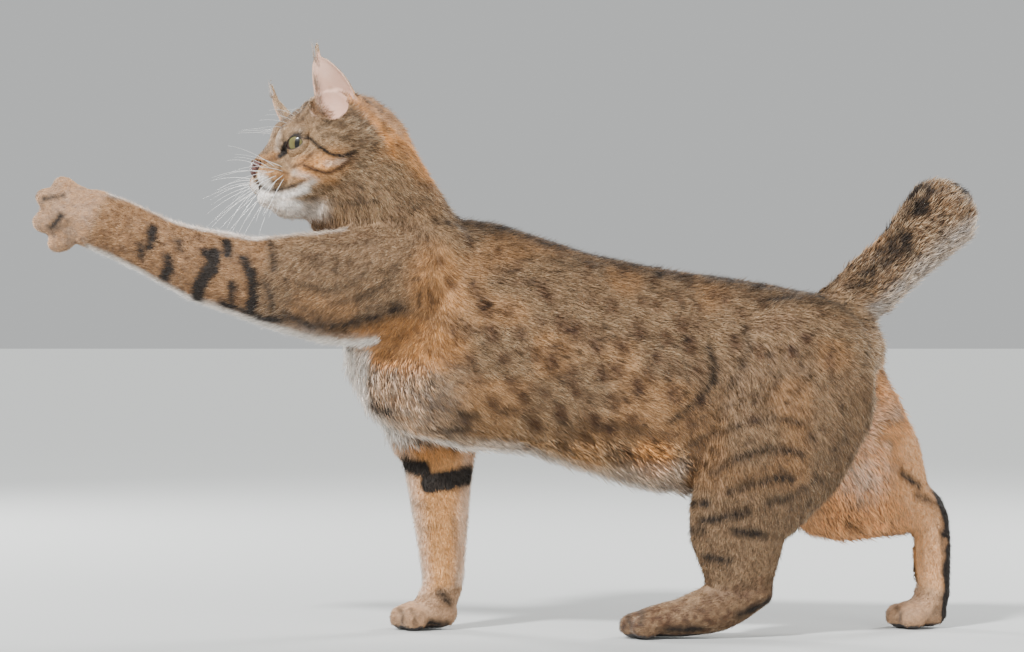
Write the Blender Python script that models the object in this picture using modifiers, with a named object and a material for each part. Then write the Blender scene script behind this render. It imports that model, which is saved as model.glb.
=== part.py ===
"""A pixie-bob cat at life size, standing on three legs and reaching out with its left forepaw.

The cat stands along X with its nose towards -X and its left side towards -Y, on the floor at z = 0.
Lengths and places are in millimetres, and MM turns them into Blender's metres. The flesh is modelled
whole, as lofts and rounded masses that a voxel remesh joins, and then parted into named pieces.
"""

import math

import bmesh
import bpy
import numpy as np
from mathutils import Euler, Matrix, Vector

MM = 0.001

# Clearance between pieces that meet, and the edge of a voxel of the remesh.
GAP = 0.3
VOXEL = 1.6

# The trunk: its ends along X, and the heights of the back and the belly at the withers and the hips.
CHEST_X = -78
RUMP_X = 277
WITHERS = 313
HIPS = 257
CHEST_FLOOR = 134
FLANK_FLOOR = 104

# The head: its nose tip in the cat's frame, and how far it turns, tips and rolls, in degrees.
NOSE_TIP = (-193.5, -25, 347)
HEAD_YAW = 23
HEAD_ROLL = -17
HEAD_PITCH = 0

# In the head's own frame x runs back from the nose tip, y to the side and z up.
EYE_AT = (38, 18, 14)
EYE_RADIUS = 11
LID_THICKNESS = 1.3
EYE_OUTWARD = 28
EYE_UPWARD = 4
EYE_WIDTH = 18.5
EYE_HEIGHT = 12.8
EYE_SLANT = 18

# The left ear is turned a little further out and back than the right one.
EAR_BASE = {"left": (62, 34, 30), "right": (60, 35, 32)}
EAR_TIP = {"left": (44.5, 43, 75), "right": (39.5, 47, 77)}
EAR_OPENING = (-0.68, 0.68, -0.2)
EAR_HALF_WIDTH = 17
EAR_CUP = 12
EAR_POINT = 2.2
EAR_SWELL = 3.0
EAR_LEAN = 3.0
EAR_WALL = 1.8
EAR_TUFT = 13
# The bowl at the foot of each ear: half sizes across it, up it and into it, and where its middle is.
EAR_BOWL = (14.5, 19.0, 14.0)
EAR_BOWL_UP = {"left": 15.0, "right": 9.0}
EAR_BOWL_OUT = {"left": 12.0, "right": 3.0}

# Where each leg stands to the side of the middle plane.
LEFT_FORE_Y = -42
RIGHT_FORE_Y = 31
LEFT_HIND_Y = -40
RIGHT_HIND_Y = 41

# Triangles of the whole body where the face is still as fine as it stays, and at the end.
ALL_FINE = 23000
ALL_TRIANGLES = 8000

FLESH_COLOUR = (0.36, 0.25, 0.16)
PALE_COLOUR = (0.62, 0.47, 0.36)
NOSE_COLOUR = (0.30, 0.11, 0.09)
IRIS_COLOUR = (0.42, 0.40, 0.14)


def head_matrix():
    turn = (
        Matrix.Rotation(math.radians(HEAD_YAW), 4, "Z")
        @ Matrix.Rotation(math.radians(HEAD_ROLL), 4, "X")
        @ Matrix.Rotation(math.radians(HEAD_PITCH), 4, "Y")
    )
    return Matrix.Translation(Vector(NOSE_TIP) * MM) @ turn


HEAD = head_matrix()


def clear_scene():
    for obj in list(bpy.data.objects):
        bpy.data.objects.remove(obj, do_unlink=True)


def material(name, colour, roughness):
    made = bpy.data.materials.new(name)
    made.use_nodes = True
    shader = made.node_tree.nodes["Principled BSDF"]
    shader.inputs["Base Color"].default_value = (*colour, 1)
    shader.inputs["Roughness"].default_value = roughness
    made.diffuse_color = (*colour, 1)
    return made


def object_from(name, mesh):
    obj = bpy.data.objects.new(name, mesh)
    bpy.context.scene.collection.objects.link(obj)
    return obj


def flatten(obj):
    """Puts the object's modifiers and its place into its mesh."""
    bpy.context.view_layer.update()
    graph = bpy.context.evaluated_depsgraph_get()
    mesh = bpy.data.meshes.new_from_object(obj.evaluated_get(graph))
    mesh.transform(obj.matrix_world)
    obj.modifiers.clear()
    obj.data = mesh
    obj.matrix_world = Matrix.Identity(4)
    return obj


def smooth_rows(rows, steps):
    """Rows of numbers with steps - 1 more between each two, on a Catmull-Rom curve."""
    rows = np.array(rows, float)
    padded = np.vstack([2 * rows[0] - rows[1], rows, 2 * rows[-1] - rows[-2]])
    found = []
    for i in range(len(rows) - 1):
        a, b, c, d = padded[i : i + 4]
        for t in np.arange(steps) / steps:
            found.append(
                0.5 * (2 * b + (c - a) * t + (2 * a - 5 * b + 4 * c - d) * t**2
                       + (3 * b - a - 3 * c + d) * t**3)
            )
    found.append(rows[-1])
    return np.array(found)


def tube(name, rows, steps=5, sides=28, pear=0.0, upright=False, frame=None):
    """A loft along rows of (x, y, z, half width to the side, half depth), with domed ends.

    On a path that runs along +X, pear narrows the rings above, and upright keeps them vertical."""
    rows = smooth_rows(rows, steps)
    centres = rows[:, :3]
    along = np.gradient(centres, axis=0)
    if upright:
        along[:] = (1, 0, 0)
    along /= np.linalg.norm(along, axis=1)[:, None]
    side = np.array([0.0, 1.0, 0.0]) - along * along[:, 1:2]
    side /= np.linalg.norm(side, axis=1)[:, None]
    deep = np.cross(along, side)
    angles = np.arange(sides) * 2 * math.pi / sides
    across = np.cos(angles) * (1 - pear * np.sin(angles))
    up = np.sin(angles)

    rings = []
    dome = [math.radians(a) for a in (65, 35)]

    def ring(i, shift, scale):
        width, depth = rows[i, 3] * scale, rows[i, 4] * scale
        return (centres[i] + shift * along[i] + width * np.outer(across, side[i])
                + depth * np.outer(up, deep[i]))

    first_end, last_end = min(rows[0, 3:5]), min(rows[-1, 3:5])
    rings += [ring(0, -first_end * math.sin(a), math.cos(a)) for a in dome]
    rings += [ring(i, 0, 1) for i in range(len(rows))]
    rings += [ring(-1, last_end * math.sin(a), math.cos(a)) for a in reversed(dome)]

    form = bmesh.new()
    loops = [[form.verts.new(p * MM) for p in r] for r in rings]
    for lower, upper in zip(loops, loops[1:]):
        for k in range(sides):
            n = (k + 1) % sides
            form.faces.new((lower[k], lower[n], upper[n], upper[k]))
    for loop, centre in (
        (loops[0], centres[0] - first_end * along[0]),
        (loops[-1], centres[-1] + last_end * along[-1]),
    ):
        pole = form.verts.new(centre * MM)
        for k in range(sides):
            form.faces.new((loop[k], loop[(k + 1) % sides], pole))
    bmesh.ops.recalc_face_normals(form, faces=form.faces)
    mesh = bpy.data.meshes.new(name)
    form.to_mesh(mesh)
    form.free()
    obj = object_from(name, mesh)
    if frame is not None:
        mesh.transform(frame)
    return obj


def ball(name, centre, radii, frame=None, turn=None, segments=24):
    """An ellipsoid, turned about its own centre if turn is given."""
    bpy.ops.mesh.primitive_uv_sphere_add(segments=segments, ring_count=segments * 2 // 3, radius=1)
    obj = bpy.context.object
    obj.name = name
    place = Matrix.Translation(Vector(centre) * MM)
    if turn is not None:
        place = place @ turn
    place = place @ Matrix.Diagonal(Vector((*[r * MM for r in radii], 1)))
    obj.data.transform((frame or Matrix.Identity(4)) @ place)
    return obj


def both_sides(maker, name, centre, radii, turn_deg=0):
    """The same ellipsoid on each side of the head, turned out from the middle plane."""
    x, y, z = centre
    made = []
    for sign, word in ((1, "right"), (-1, "left")):
        turn = Matrix.Rotation(math.radians(sign * turn_deg), 4, "Z")
        made.append(maker(f"{name}_{word}", (x, sign * y, z), radii, HEAD, turn))
    return made


def trunk():
    """The chest, belly and rump, from the heights of the back and the belly."""
    # x, height of the back, height of the belly, half width
    profile = [
        (CHEST_X, 305, 150, 50),
        (-56, 311, 143, 56),
        (-30, WITHERS, 137, 60),
        (10, 303, CHEST_FLOOR, 62),
        (55, 288, 121, 63),
        (100, 278, 108, 62),
        (145, 271, FLANK_FLOOR, 56),
        (188, 265, 114, 54),
        (224, HIPS, 140, 54),
        (244, 250, 158, 50),
        (RUMP_X - 24, 242, 184, 40),
    ]
    rows = [(x, 0, (top + floor) / 2, wide, (top - floor) / 2) for x, top, floor, wide in profile]
    pieces = [tube("trunk", rows, pear=0.13, upright=True)]
    pieces += [
        ball("right_shoulder", (-62, 32, 232), (44, 27, 66)),
        ball("right_haunch", (222, 26, 206), (52, 34, 46)),
        ball("left_haunch", (214, -26, 206), (56, 34, 50)),
    ]
    return pieces


def neck():
    rows = [
        (-130, -12, 373, 35, 37),
        (-121, -9, 351, 36, 47),
        (-110, -7, 332, 38, 50),
        (-99, -4, 311, 42, 51),
        (-86, -1, 280, 49, 60),
        (-60, 0, 238, 52, 62),
    ]
    return [tube("neck", rows)]


def reaching_foreleg():
    """The left foreleg, stretched forwards at chin height."""
    y = LEFT_FORE_Y
    rows = [
        (-44, y + 12, 284, 18, 30),
        (-82, y + 1, 266, 25, 44),
        (-122, y - 3, 259, 27, 45),
        (-158, y - 3, 261, 26, 39.5),
        (-193, y - 1, 266, 24, 32.5),
        (-230, y + 2, 276, 21, 28.5),
        (-262, y + 5, 289, 19, 24.5),
        (-292, y + 8, 303, 19, 24),
        (-312, y + 10, 311, 19, 23),
    ]
    palm = y + 11
    pieces = [
        tube("reaching_foreleg", rows),
        ball("palm", (-325, palm, 314), (21, 15.5, 22.5)),
        ball("palm_pad", (-324, palm + 9, 311), (10, 8, 12)),
    ]
    # x, z, half length, half depth, and how far the toe points up, in degrees
    toes = [
        (-330, 332, 12, 9.2, 40),
        (-341, 324.5, 13, 9.2, 14),
        (-343, 308, 13, 10.2, -8),
        (-332, 295, 14, 9.4, -34),
    ]
    for x, z, length, depth, rise in toes:
        turn = Matrix.Rotation(math.radians(rise), 4, "Y")
        pieces.append(ball("reaching_toe", (x, palm + 1, z), (length, 8.6, depth), turn=turn))
        pieces.append(ball("reaching_toe_pad", (x - 1, palm + 7, z - 1), (6.5, 5, 5.5)))
    return pieces


def standing_paw(heel_x, toe_x, y, height, spread):
    """A paw flat on the floor: the instep, and four toes of which the inner two reach furthest."""
    length = heel_x - toe_x
    pieces = [
        tube(
            "paw",
            [
                (heel_x - 8, y, height * 0.52, spread * 0.72, height * 0.52),
                (heel_x - length * 0.5, y, height * 0.47, spread * 0.9, height * 0.48),
                (toe_x + 13, y, height * 0.40, spread * 0.9, height * 0.42),
            ],
        )
    ]
    for place, back in ((-0.80, 8.5), (-0.28, 0), (0.28, 0), (0.80, 8.5)):
        centre = (toe_x + 11 + back, y + place * spread, 9.2)
        pieces.append(ball("toe", centre, (11.5, 7.2, 10.4)))
    return pieces


def standing_foreleg():
    """The right foreleg, which carries the front of the cat."""
    y = RIGHT_FORE_Y
    rows = [
        (-88, y + 4, 252, 20, 40),
        (-82, y + 8, 212, 22, 40),
        (-66, y + 6, 168, 23, 37),
        (-56, y + 3, 138, 21, 31),
        (-55, y + 1, 112, 19, 26.5),
        (-53.5, y, 82, 17, 22.5),
        (-52.5, y, 52, 15.5, 19),
        (-53, y - 1, 32, 15, 16.5),
        (-60, y - 1, 17, 15, 15),
    ]
    return [tube("standing_foreleg", rows)] + standing_paw(-45, -93, y - 1, 25, 19)


def crouched_hind_leg():
    """The left hind leg, with the hock low and the foot flat."""
    y = LEFT_HIND_Y
    thigh = [
        (226, y + 12, 222, 24, 44),
        (216, y + 3, 186, 28, 57),
        (198, y - 3, 142, 28, 55),
        (179, y - 2, 108, 24, 46),
        (168, y, 84, 21, 40),
        (168, y + 1, 62, 19, 34),
        (169, y + 1, 44, 17, 27),
    ]
    foot = [
        (182, y + 1, 35, 13, 14),
        (168, y + 1, 30, 15, 18),
        (149, y + 1, 22, 16, 19),
        (125, y + 1, 15, 17, 15.5),
        (104, y + 1, 12.5, 18, 12.5),
    ]
    return [tube("left_thigh", thigh), tube("left_foot", foot)] + standing_paw(
        135, 79, y + 1, 25, 18.5
    )


def driving_hind_leg():
    """The right hind leg, stretched back with its shank level and its foot upright."""
    y = RIGHT_HIND_Y
    thigh = [
        (232, y - 12, 220, 22, 38),
        (244, y - 4, 190, 25, 42),
        (252, y, 155, 25, 51),
        (261, y, 118, 22, 57),
        (266, y, 84, 17, 53),
    ]
    hock = [
        (296, y + 1, 96, 15, 28),
        (314, y + 1, 88, 13.5, 20),
        (321, y + 1, 72, 12.5, 16.5),
        (321, y, 48, 12, 15.5),
        (321.5, y, 28, 12.5, 14.5),
        (317, y, 15, 14, 13.5),
    ]
    return [tube("right_thigh", thigh), tube("right_hock", hock)] + standing_paw(
        329, 285.5, y, 24, 18
    )


def tail():
    rows = [
        (240, 0, 238, 20, 22),
        (258, 0, 250, 20, 24),
        (276, 0, 266, 19, 23.5),
        (294, 0, 283, 19.5, 23.5),
        (311, 0, 301, 22, 27),
        (324, 0, 316, 23.5, 29.5),
    ]
    return [tube("tail", rows)]


def head_masses():
    """The skull, cheeks, muzzle and jaw, in the head's own frame."""
    # x, height of the crown, height of the throat, half width
    profile = [
        (19, 14.5, -31, 15),
        (22.5, 26, -33, 22),
        (28, 38, -35, 29),
        (38, 47.5, -37, 34),
        (50, 54, -38, 37),
        (64, 57.5, -38, 38),
        (80, 58, -38, 38),
        (96, 54, -38, 36),
    ]
    skull = [(x, 0, (top + floor) / 2, wide, (top - floor) / 2) for x, top, floor, wide in profile]
    pieces = [
        tube("skull", skull, pear=0.16, upright=True, frame=HEAD),
        tube("nose_bridge", [(4, 0, 2.5, 7.5, 5), (13, 0, 7.5, 9, 8), (22, 0, 14.5, 12, 10),
                             (32, 0, 28, 16, 13)], frame=HEAD),
        tube("muzzle", [(9, 0, -6, 10, 8), (18, 0, -9, 17, 14), (30, 0, -9, 25, 19)], frame=HEAD),
        ball("chin", (14, 0, -22), (11.5, 12.5, 8.5), HEAD),
        ball("nape", (86, 0, 24), (34, 34, 36), HEAD),
        ball("throat", (30, 0, -27), (18, 15, 12), HEAD),
    ]
    pieces += both_sides(ball, "whisker_pad", (15, 9.6, -8), (14.5, 12, 10.5), 10)
    pieces += both_sides(ball, "cheek", (60, 27, -8), (25, 17, 21), 8)
    pieces += both_sides(ball, "eye_surround", (33, 14, 14), (12, 11, 12))
    pieces += both_sides(ball, "cheekbone", (39, 22, 4), (14, 12, 11))
    pieces += both_sides(ball, "brow", (42, 17, 28), (15.5, 15, 13))
    pieces += both_sides(ball, "ear_root", (73, 26, 34), (14, 11, 12))
    return pieces


def vertex_places(obj):
    """The places of the object's vertices in millimetres."""
    points = np.empty(len(obj.data.vertices) * 3)
    obj.data.vertices.foreach_get("co", points)
    return points.reshape(-1, 3) / MM


def soften(obj):
    """Smooths the fused body strongly, and the head and the paws, whose forms are small, lightly."""
    points = vertex_places(obj)
    middle = np.array(HEAD @ (Vector((40, 0, 5)) * MM)) / MM
    from_head = np.linalg.norm(points - middle, axis=1)
    soft = np.clip((from_head - 48) / 35, 0, 1)
    soft = np.minimum(soft, np.clip((points[:, 2] - 30) / 30, 0, 1))
    soft = np.minimum(soft, np.clip((points[:, 0] + 318) / 30, 0, 1))
    group = obj.vertex_groups.new(name="soft")
    for level in range(11):
        chosen = np.flatnonzero(np.round(soft * 10) == level)
        group.add([int(i) for i in chosen], level / 10, "REPLACE")
    for iterations, where in ((26, "soft"), (9, "")):
        step = obj.modifiers.new("soften", "SMOOTH")
        step.factor = 0.5
        step.iterations = iterations
        step.vertex_group = where
    flatten(obj)


def seat_lids(obj):
    """Draws the skin round each eye onto a sphere just outside the eyeball."""
    points = vertex_places(obj)
    for sign in (1, -1):
        local = np.array(eye_frame(sign).inverted())
        seen = points * MM @ local[:3, :3].T + local[:3, 3]
        seen /= MM
        aside = np.hypot(seen[:, 1], seen[:, 2])
        weight = np.clip((18 - aside) / 8, 0, 1)
        weight = weight**2 * (3 - 2 * weight) * (seen[:, 0] < -2)
        distance = np.linalg.norm(seen, axis=1)
        scale = 1 + weight * ((EYE_RADIUS + LID_THICKNESS) / distance - 1)
        centre = np.array(eye_frame(sign).translation) / MM
        points = centre + (points - centre) * scale[:, None]
    obj.data.vertices.foreach_set("co", (points * MM).ravel())
    obj.data.update()


def thin_out(obj):
    """Collapses edges, first everywhere and then away from the face, which keeps more triangles."""
    for wanted, face_kept in ((ALL_FINE, False), (ALL_TRIANGLES, True)):
        step = obj.modifiers.new("thin_out", "DECIMATE")
        obj.data.calc_loop_triangles()
        step.ratio = wanted / len(obj.data.loop_triangles)
        if face_kept:
            points = vertex_places(obj)
            middle = np.array(HEAD @ (Vector((22, 0, 0)) * MM)) / MM
            far = np.flatnonzero(np.linalg.norm(points - middle, axis=1) > 42)
            group = obj.vertex_groups.new(name="coarse")
            group.add([int(i) for i in far], 1, "REPLACE")
            step.vertex_group = group.name
            step.vertex_group_factor = 0
        flatten(obj)
        obj.vertex_groups.clear()


def fuse(name, pieces):
    """One closed skin round all the pieces, which overlap."""
    bpy.ops.object.select_all(action="DESELECT")
    for piece in pieces:
        piece.select_set(True)
    bpy.context.view_layer.objects.active = pieces[0]
    bpy.ops.object.join()
    body = bpy.context.object
    body.name = name
    step = body.modifiers.new("fuse", "REMESH")
    step.mode = "VOXEL"
    step.voxel_size = VOXEL * MM
    step.adaptivity = 0
    return flatten(body)


def largest_shell(obj):
    """Drops every loose scrap but the largest closed surface."""
    form = bmesh.new()
    form.from_mesh(obj.data)
    unseen = set(form.verts)
    shells = []
    while unseen:
        start = unseen.pop()
        shell, edge = [start], [start]
        while edge:
            vert = edge.pop()
            for link in vert.link_edges:
                other = link.other_vert(vert)
                if other in unseen:
                    unseen.remove(other)
                    shell.append(other)
                    edge.append(other)
        shells.append(shell)

    def extent(shell):
        points = np.array([v.co for v in shell])
        return float(np.prod(points.max(0) - points.min(0)))

    shells.sort(key=extent)
    for shell in shells[:-1]:
        bmesh.ops.delete(form, geom=shell, context="VERTS")
    form.to_mesh(obj.data)
    form.free()
    return obj


def boolean(obj, other, operation):
    step = obj.modifiers.new(operation.lower(), "BOOLEAN")
    step.operation = operation
    step.object = other
    step.solver = "EXACT"
    return flatten(obj)


def discard(*objects):
    for obj in objects:
        bpy.data.objects.remove(obj, do_unlink=True)


def cell(low, high, turn=(0, 0, 0), pivot=(0, 0, 0), grow=0):
    """A box between two corners, turned by degrees about a pivot, that takes a piece from the whole."""
    low = Vector(low) - Vector((grow,) * 3)
    high = Vector(high) + Vector((grow,) * 3)
    bpy.ops.mesh.primitive_cube_add(size=1)
    obj = bpy.context.object
    centre, size = (low + high) / 2, high - low
    obj.data.transform(
        Matrix.Translation(Vector(pivot) * MM)
        @ Euler([math.radians(angle) for angle in turn]).to_matrix().to_4x4()
        @ Matrix.Translation(centre * MM)
        @ Matrix.Diagonal(Vector((*(size * MM), 1)))
    )
    return obj


def take(body, name, **box):
    """Parts the piece inside a cell from the body, with the clearance between them."""
    piece = object_from(name, body.data.copy())
    inner, outer = cell(**box), cell(**box, grow=GAP)
    boolean(piece, inner, "INTERSECT")
    boolean(body, outer, "DIFFERENCE")
    discard(inner, outer)
    largest_shell(piece)
    largest_shell(body)
    return piece


def rest_on_floor(body):
    """Cuts the soles flat at z = 0, all at one level."""
    room = cell((-500, -200, 0), (500, 200, 600))
    boolean(body, room, "INTERSECT")
    discard(room)
    largest_shell(body)


def eye_frame(sign):
    """The eyeball's own frame: -X is the way it looks, and Z is up along its opening."""
    x, y, z = EYE_AT
    return (
        HEAD
        @ Matrix.Translation(Vector((x, sign * y, z)) * MM)
        @ Matrix.Rotation(math.radians(-sign * EYE_OUTWARD), 4, "Z")
        @ Matrix.Rotation(math.radians(EYE_UPWARD), 4, "Y")
        @ Matrix.Rotation(math.radians(-sign * EYE_SLANT), 4, "X")
    )


def almond(width, height, steps=10):
    """The outline of the opening between the lids: two arcs that meet in a point at each corner."""
    outline = []
    for k in range(2 * steps):
        angle = math.pi * k / steps
        rise = 0.44 if k < steps else -0.56
        outline.append((math.cos(angle) * width / 2, rise * height * abs(math.sin(angle)) ** 1.2))
    return outline


def opening_cutter(sign):
    """A prism with the almond outline, from inside the eyeball out past the lids."""
    curve = bpy.data.curves.new("opening", "CURVE")
    curve.dimensions = "2D"
    curve.fill_mode = "BOTH"
    curve.extrude = 7.5 * MM
    spline = curve.splines.new("POLY")
    outline = almond(EYE_WIDTH, EYE_HEIGHT)
    spline.points.add(len(outline) - 1)
    for point, (y, z) in zip(spline.points, outline):
        point.co = (y * MM, z * MM, 0, 1)
    spline.use_cyclic_u = True
    drawn = object_from("opening", curve)
    stand = Matrix(((0, 0, 1, 0), (1, 0, 0, 0), (0, 1, 0, 0), (0, 0, 0, 1)))
    reach = Matrix.Translation(Vector((-EYE_RADIUS - 4.5, 0, 0)) * MM)
    bpy.context.view_layer.update()
    graph = bpy.context.evaluated_depsgraph_get()
    mesh = bpy.data.meshes.new_from_object(drawn.evaluated_get(graph))
    discard(drawn)
    form = bmesh.new()
    form.from_mesh(mesh)
    bmesh.ops.remove_doubles(form, verts=form.verts, dist=0.00001)
    bmesh.ops.recalc_face_normals(form, faces=form.faces)
    form.to_mesh(mesh)
    form.free()
    mesh.transform(eye_frame(sign) @ reach @ stand)
    return object_from("opening_cutter", mesh)


def open_eyes(body):
    """Hollows the socket behind each eye's lids and cuts the opening between them."""
    for sign in (1, -1):
        x, y, z = EYE_AT
        centre = (x, sign * y, z)
        socket = ball("socket", centre, [EYE_RADIUS + GAP] * 3, HEAD, segments=20)
        boolean(body, socket, "DIFFERENCE")
        discard(socket)
        cutter = opening_cutter(sign)
        boolean(body, cutter, "DIFFERENCE")
        discard(cutter)
    largest_shell(body)


def on_surface(body, x, y, z, direction):
    """Where a line towards a point of the head meets the skin, all in the head's frame."""
    start = HEAD @ (Vector((x, y, z)) * MM)
    ray = (HEAD.to_3x3() @ Vector(direction)).normalized()
    place = body.ray_cast(start - ray * 45 * MM, ray)[1]
    return HEAD.inverted() @ place / MM


def groove(body, points, width):
    """Cuts a round groove of the given width along points of the head's frame."""
    curve = bpy.data.curves.new("groove", "CURVE")
    curve.dimensions = "3D"
    curve.bevel_depth = width / 2 * MM
    curve.bevel_resolution = 1
    curve.use_fill_caps = True
    spline = curve.splines.new("POLY")
    spline.points.add(len(points) - 1)
    for point, place in zip(spline.points, points):
        point.co = (*(HEAD @ (Vector(place) * MM)), 1)
    drawn = object_from("groove", curve)
    bpy.context.view_layer.update()
    graph = bpy.context.evaluated_depsgraph_get()
    mesh = bpy.data.meshes.new_from_object(drawn.evaluated_get(graph))
    discard(drawn)
    form = bmesh.new()
    form.from_mesh(mesh)
    bmesh.ops.remove_doubles(form, verts=form.verts, dist=0.00001)
    bmesh.ops.recalc_face_normals(form, faces=form.faces)
    form.to_mesh(mesh)
    form.free()
    cutter = object_from("groove_cutter", mesh)
    boolean(body, cutter, "DIFFERENCE")
    discard(cutter)


def mouth_line(body):
    """The parting of the lips, from corner to corner under the whisker pads, and up to the nose."""
    halves = []
    for sign in (1, -1):
        half = []
        for y, z in ((4, -16), (8, -18.5)):
            half.append(on_surface(body, 8, sign * y, z, (1, 0, 0)))
        for x, z in ((13, -19.8), (18, -19.8), (23, -19), (27.5, -17.5), (31, -15.8)):
            half.append(on_surface(body, x, 0, z, (0, -sign, 0)))
        halves.append(half)
    front = on_surface(body, 8, 0, -14, (1, 0, 0))
    groove(body, list(reversed(halves[0])) + [front] + halves[1], 1.8)
    cleft = [on_surface(body, 8, 0, z, (1, 0, 0)) for z in (-4.5, -9)] + [front]
    groove(body, cleft, 1.5)


def nose_leather(body):
    """The bare nose, broad above and narrow below, with a nostril cut in each side."""
    leather = ball("nose_form", (4.2, 0, 1.5), (4.6, 7.4, 5.2), HEAD, segments=16)
    tip = ball("nose_tip_form", (2.9, 0, -1.5), (3.6, 4.2, 4.4), HEAD, segments=12)
    boolean(leather, tip, "UNION")
    discard(tip)
    seat = object_from("nose_seat", leather.data.copy())
    seat.data.transform(
        HEAD
        @ Matrix.Translation(Vector((4.2, 0, 1)) * MM)
        @ Matrix.Scale(1 + GAP / 4.5, 4)
        @ Matrix.Translation(Vector((-4.2, 0, -1)) * MM)
        @ HEAD.inverted()
    )
    boolean(body, seat, "DIFFERENCE")
    discard(seat)
    for sign in (1, -1):
        turn = Matrix.Rotation(math.radians(sign * 35), 4, "Z")
        nostril = ball("nostril", (-0.3, sign * 4.2, 0.2), (2.6, 1.5, 1.7), HEAD, turn, 9)
        boolean(leather, nostril, "DIFFERENCE")
        discard(nostril)
    leather.name = "nose"
    largest_shell(body)
    return largest_shell(leather)


def eyeball(sign, word):
    """The eyeball with the clear bulge of the cornea in front."""
    x, y, z = EYE_AT
    eye = ball(f"eye_{word}", (x, sign * y, z), [EYE_RADIUS] * 3, HEAD, segments=18)
    cornea = ball("cornea", (-2.6, 0, 0), (8.7,) * 3, eye_frame(sign), segments=16)
    boolean(eye, cornea, "UNION")
    discard(cornea)
    return largest_shell(eye)


def ear(sign, word, head):
    """A pointed cup of thin gristle that opens forwards and outwards, with a tuft at its tip."""
    mirror = Vector((1, sign, 1))
    base = Vector(EAR_BASE[word]) * mirror
    tip = Vector(EAR_TIP[word]) * mirror
    axis = (tip - base).normalized()
    opening = Vector(EAR_OPENING) * mirror
    opening = (opening - axis * opening.dot(axis)).normalized()
    # across the ear, from its front edge to its back edge
    back = opening.cross(axis) * sign
    length = (tip - base).length
    rises, turns = 12, 9

    bowl = Matrix((axis.cross(opening), axis, opening)).transposed().to_4x4()
    hollow = ball("ear_bowl", base + axis * EAR_BOWL_UP[word] + opening * EAR_BOWL_OUT[word],
                  EAR_BOWL, HEAD, bowl, 16)
    boolean(head, hollow, "DIFFERENCE")
    discard(hollow)
    largest_shell(head)

    def wall(t, inset):
        """The points of one side of the wall, from the front edge to the back edge."""
        taper = max(0.0, 1 - max(t, 0) ** EAR_POINT) ** 0.75
        narrow = 1 - 1.7 * max(0, 0.3 - t) ** 2
        half = 2.0 + (EAR_HALF_WIDTH - 2.0) * taper * narrow - inset
        cup = 1.6 + (EAR_CUP - 1.6) * (1 - max(t, 0)) ** 0.9 - inset
        # the front edge rises straight to the tip and the back edge swells
        shift = EAR_SWELL * math.sin(math.pi * max(t, 0)) ** 1.2
        lean = EAR_LEAN * math.sin(math.pi * max(t, 0))
        points = []
        for k in range(turns):
            angle = math.radians(-100 + 200 * k / (turns - 1))
            points.append(
                base
                + axis * (length * t)
                + back * (half * math.sin(angle) + shift)
                + opening * (lean - cup * math.cos(angle))
            )
        return points

    form = bmesh.new()
    rings = []
    for i in range(rises):
        t = 1 - 1.3 * (rises - 1 - i) / (rises - 1)
        inset = min(EAR_WALL, 0.5 * (1.6 + (EAR_CUP - 1.6) * (1 - max(t, 0)) ** 0.9))
        ring = wall(t, 0) + list(reversed(wall(t, inset)))
        rings.append([form.verts.new(HEAD @ (p * MM)) for p in ring])
    count = len(rings[0])
    for low, high in zip(rings, rings[1:]):
        for k in range(count):
            n = (k + 1) % count
            form.faces.new((low[k], low[n], high[n], high[k]))
    for ring in (rings[0], rings[-1]):
        for k in range(turns - 1):
            form.faces.new((ring[k], ring[k + 1], ring[count - 2 - k], ring[count - 1 - k]))
    bmesh.ops.recalc_face_normals(form, faces=form.faces)
    bmesh.ops.triangulate(form, faces=form.faces)
    mesh = bpy.data.meshes.new(f"ear_{word}")
    form.to_mesh(mesh)
    form.free()
    obj = object_from(f"ear_{word}", mesh)

    seat = object_from("ear_seat", head.data.copy())
    swell = seat.modifiers.new("clearance", "DISPLACE")
    swell.strength = GAP * MM
    swell.mid_level = 0
    flatten(seat)
    boolean(obj, seat, "DIFFERENCE")
    discard(seat)
    largest_shell(obj)

    middle = wall(0.93, 0.5)[turns // 2]
    up = Vector((0.06, sign * 0.1, 1))
    for spread, reach in ((-0.2, 0.75), (0.0, 1.0), (0.25, 0.7)):
        start = middle + back * (spread * 4)
        end = tip + (up + back * spread).normalized() * (EAR_TUFT * reach)
        rows = [(*start.lerp(end, t), 1.5 * (1 - t) + 0.25, 1.0 * (1 - t) + 0.25)
                for t in (0, 0.4, 1)]
        lock = tube("ear_tip_lock", rows, steps=1, sides=6, frame=HEAD)
        boolean(obj, lock, "UNION")
        discard(lock)
    return largest_shell(obj)


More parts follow.
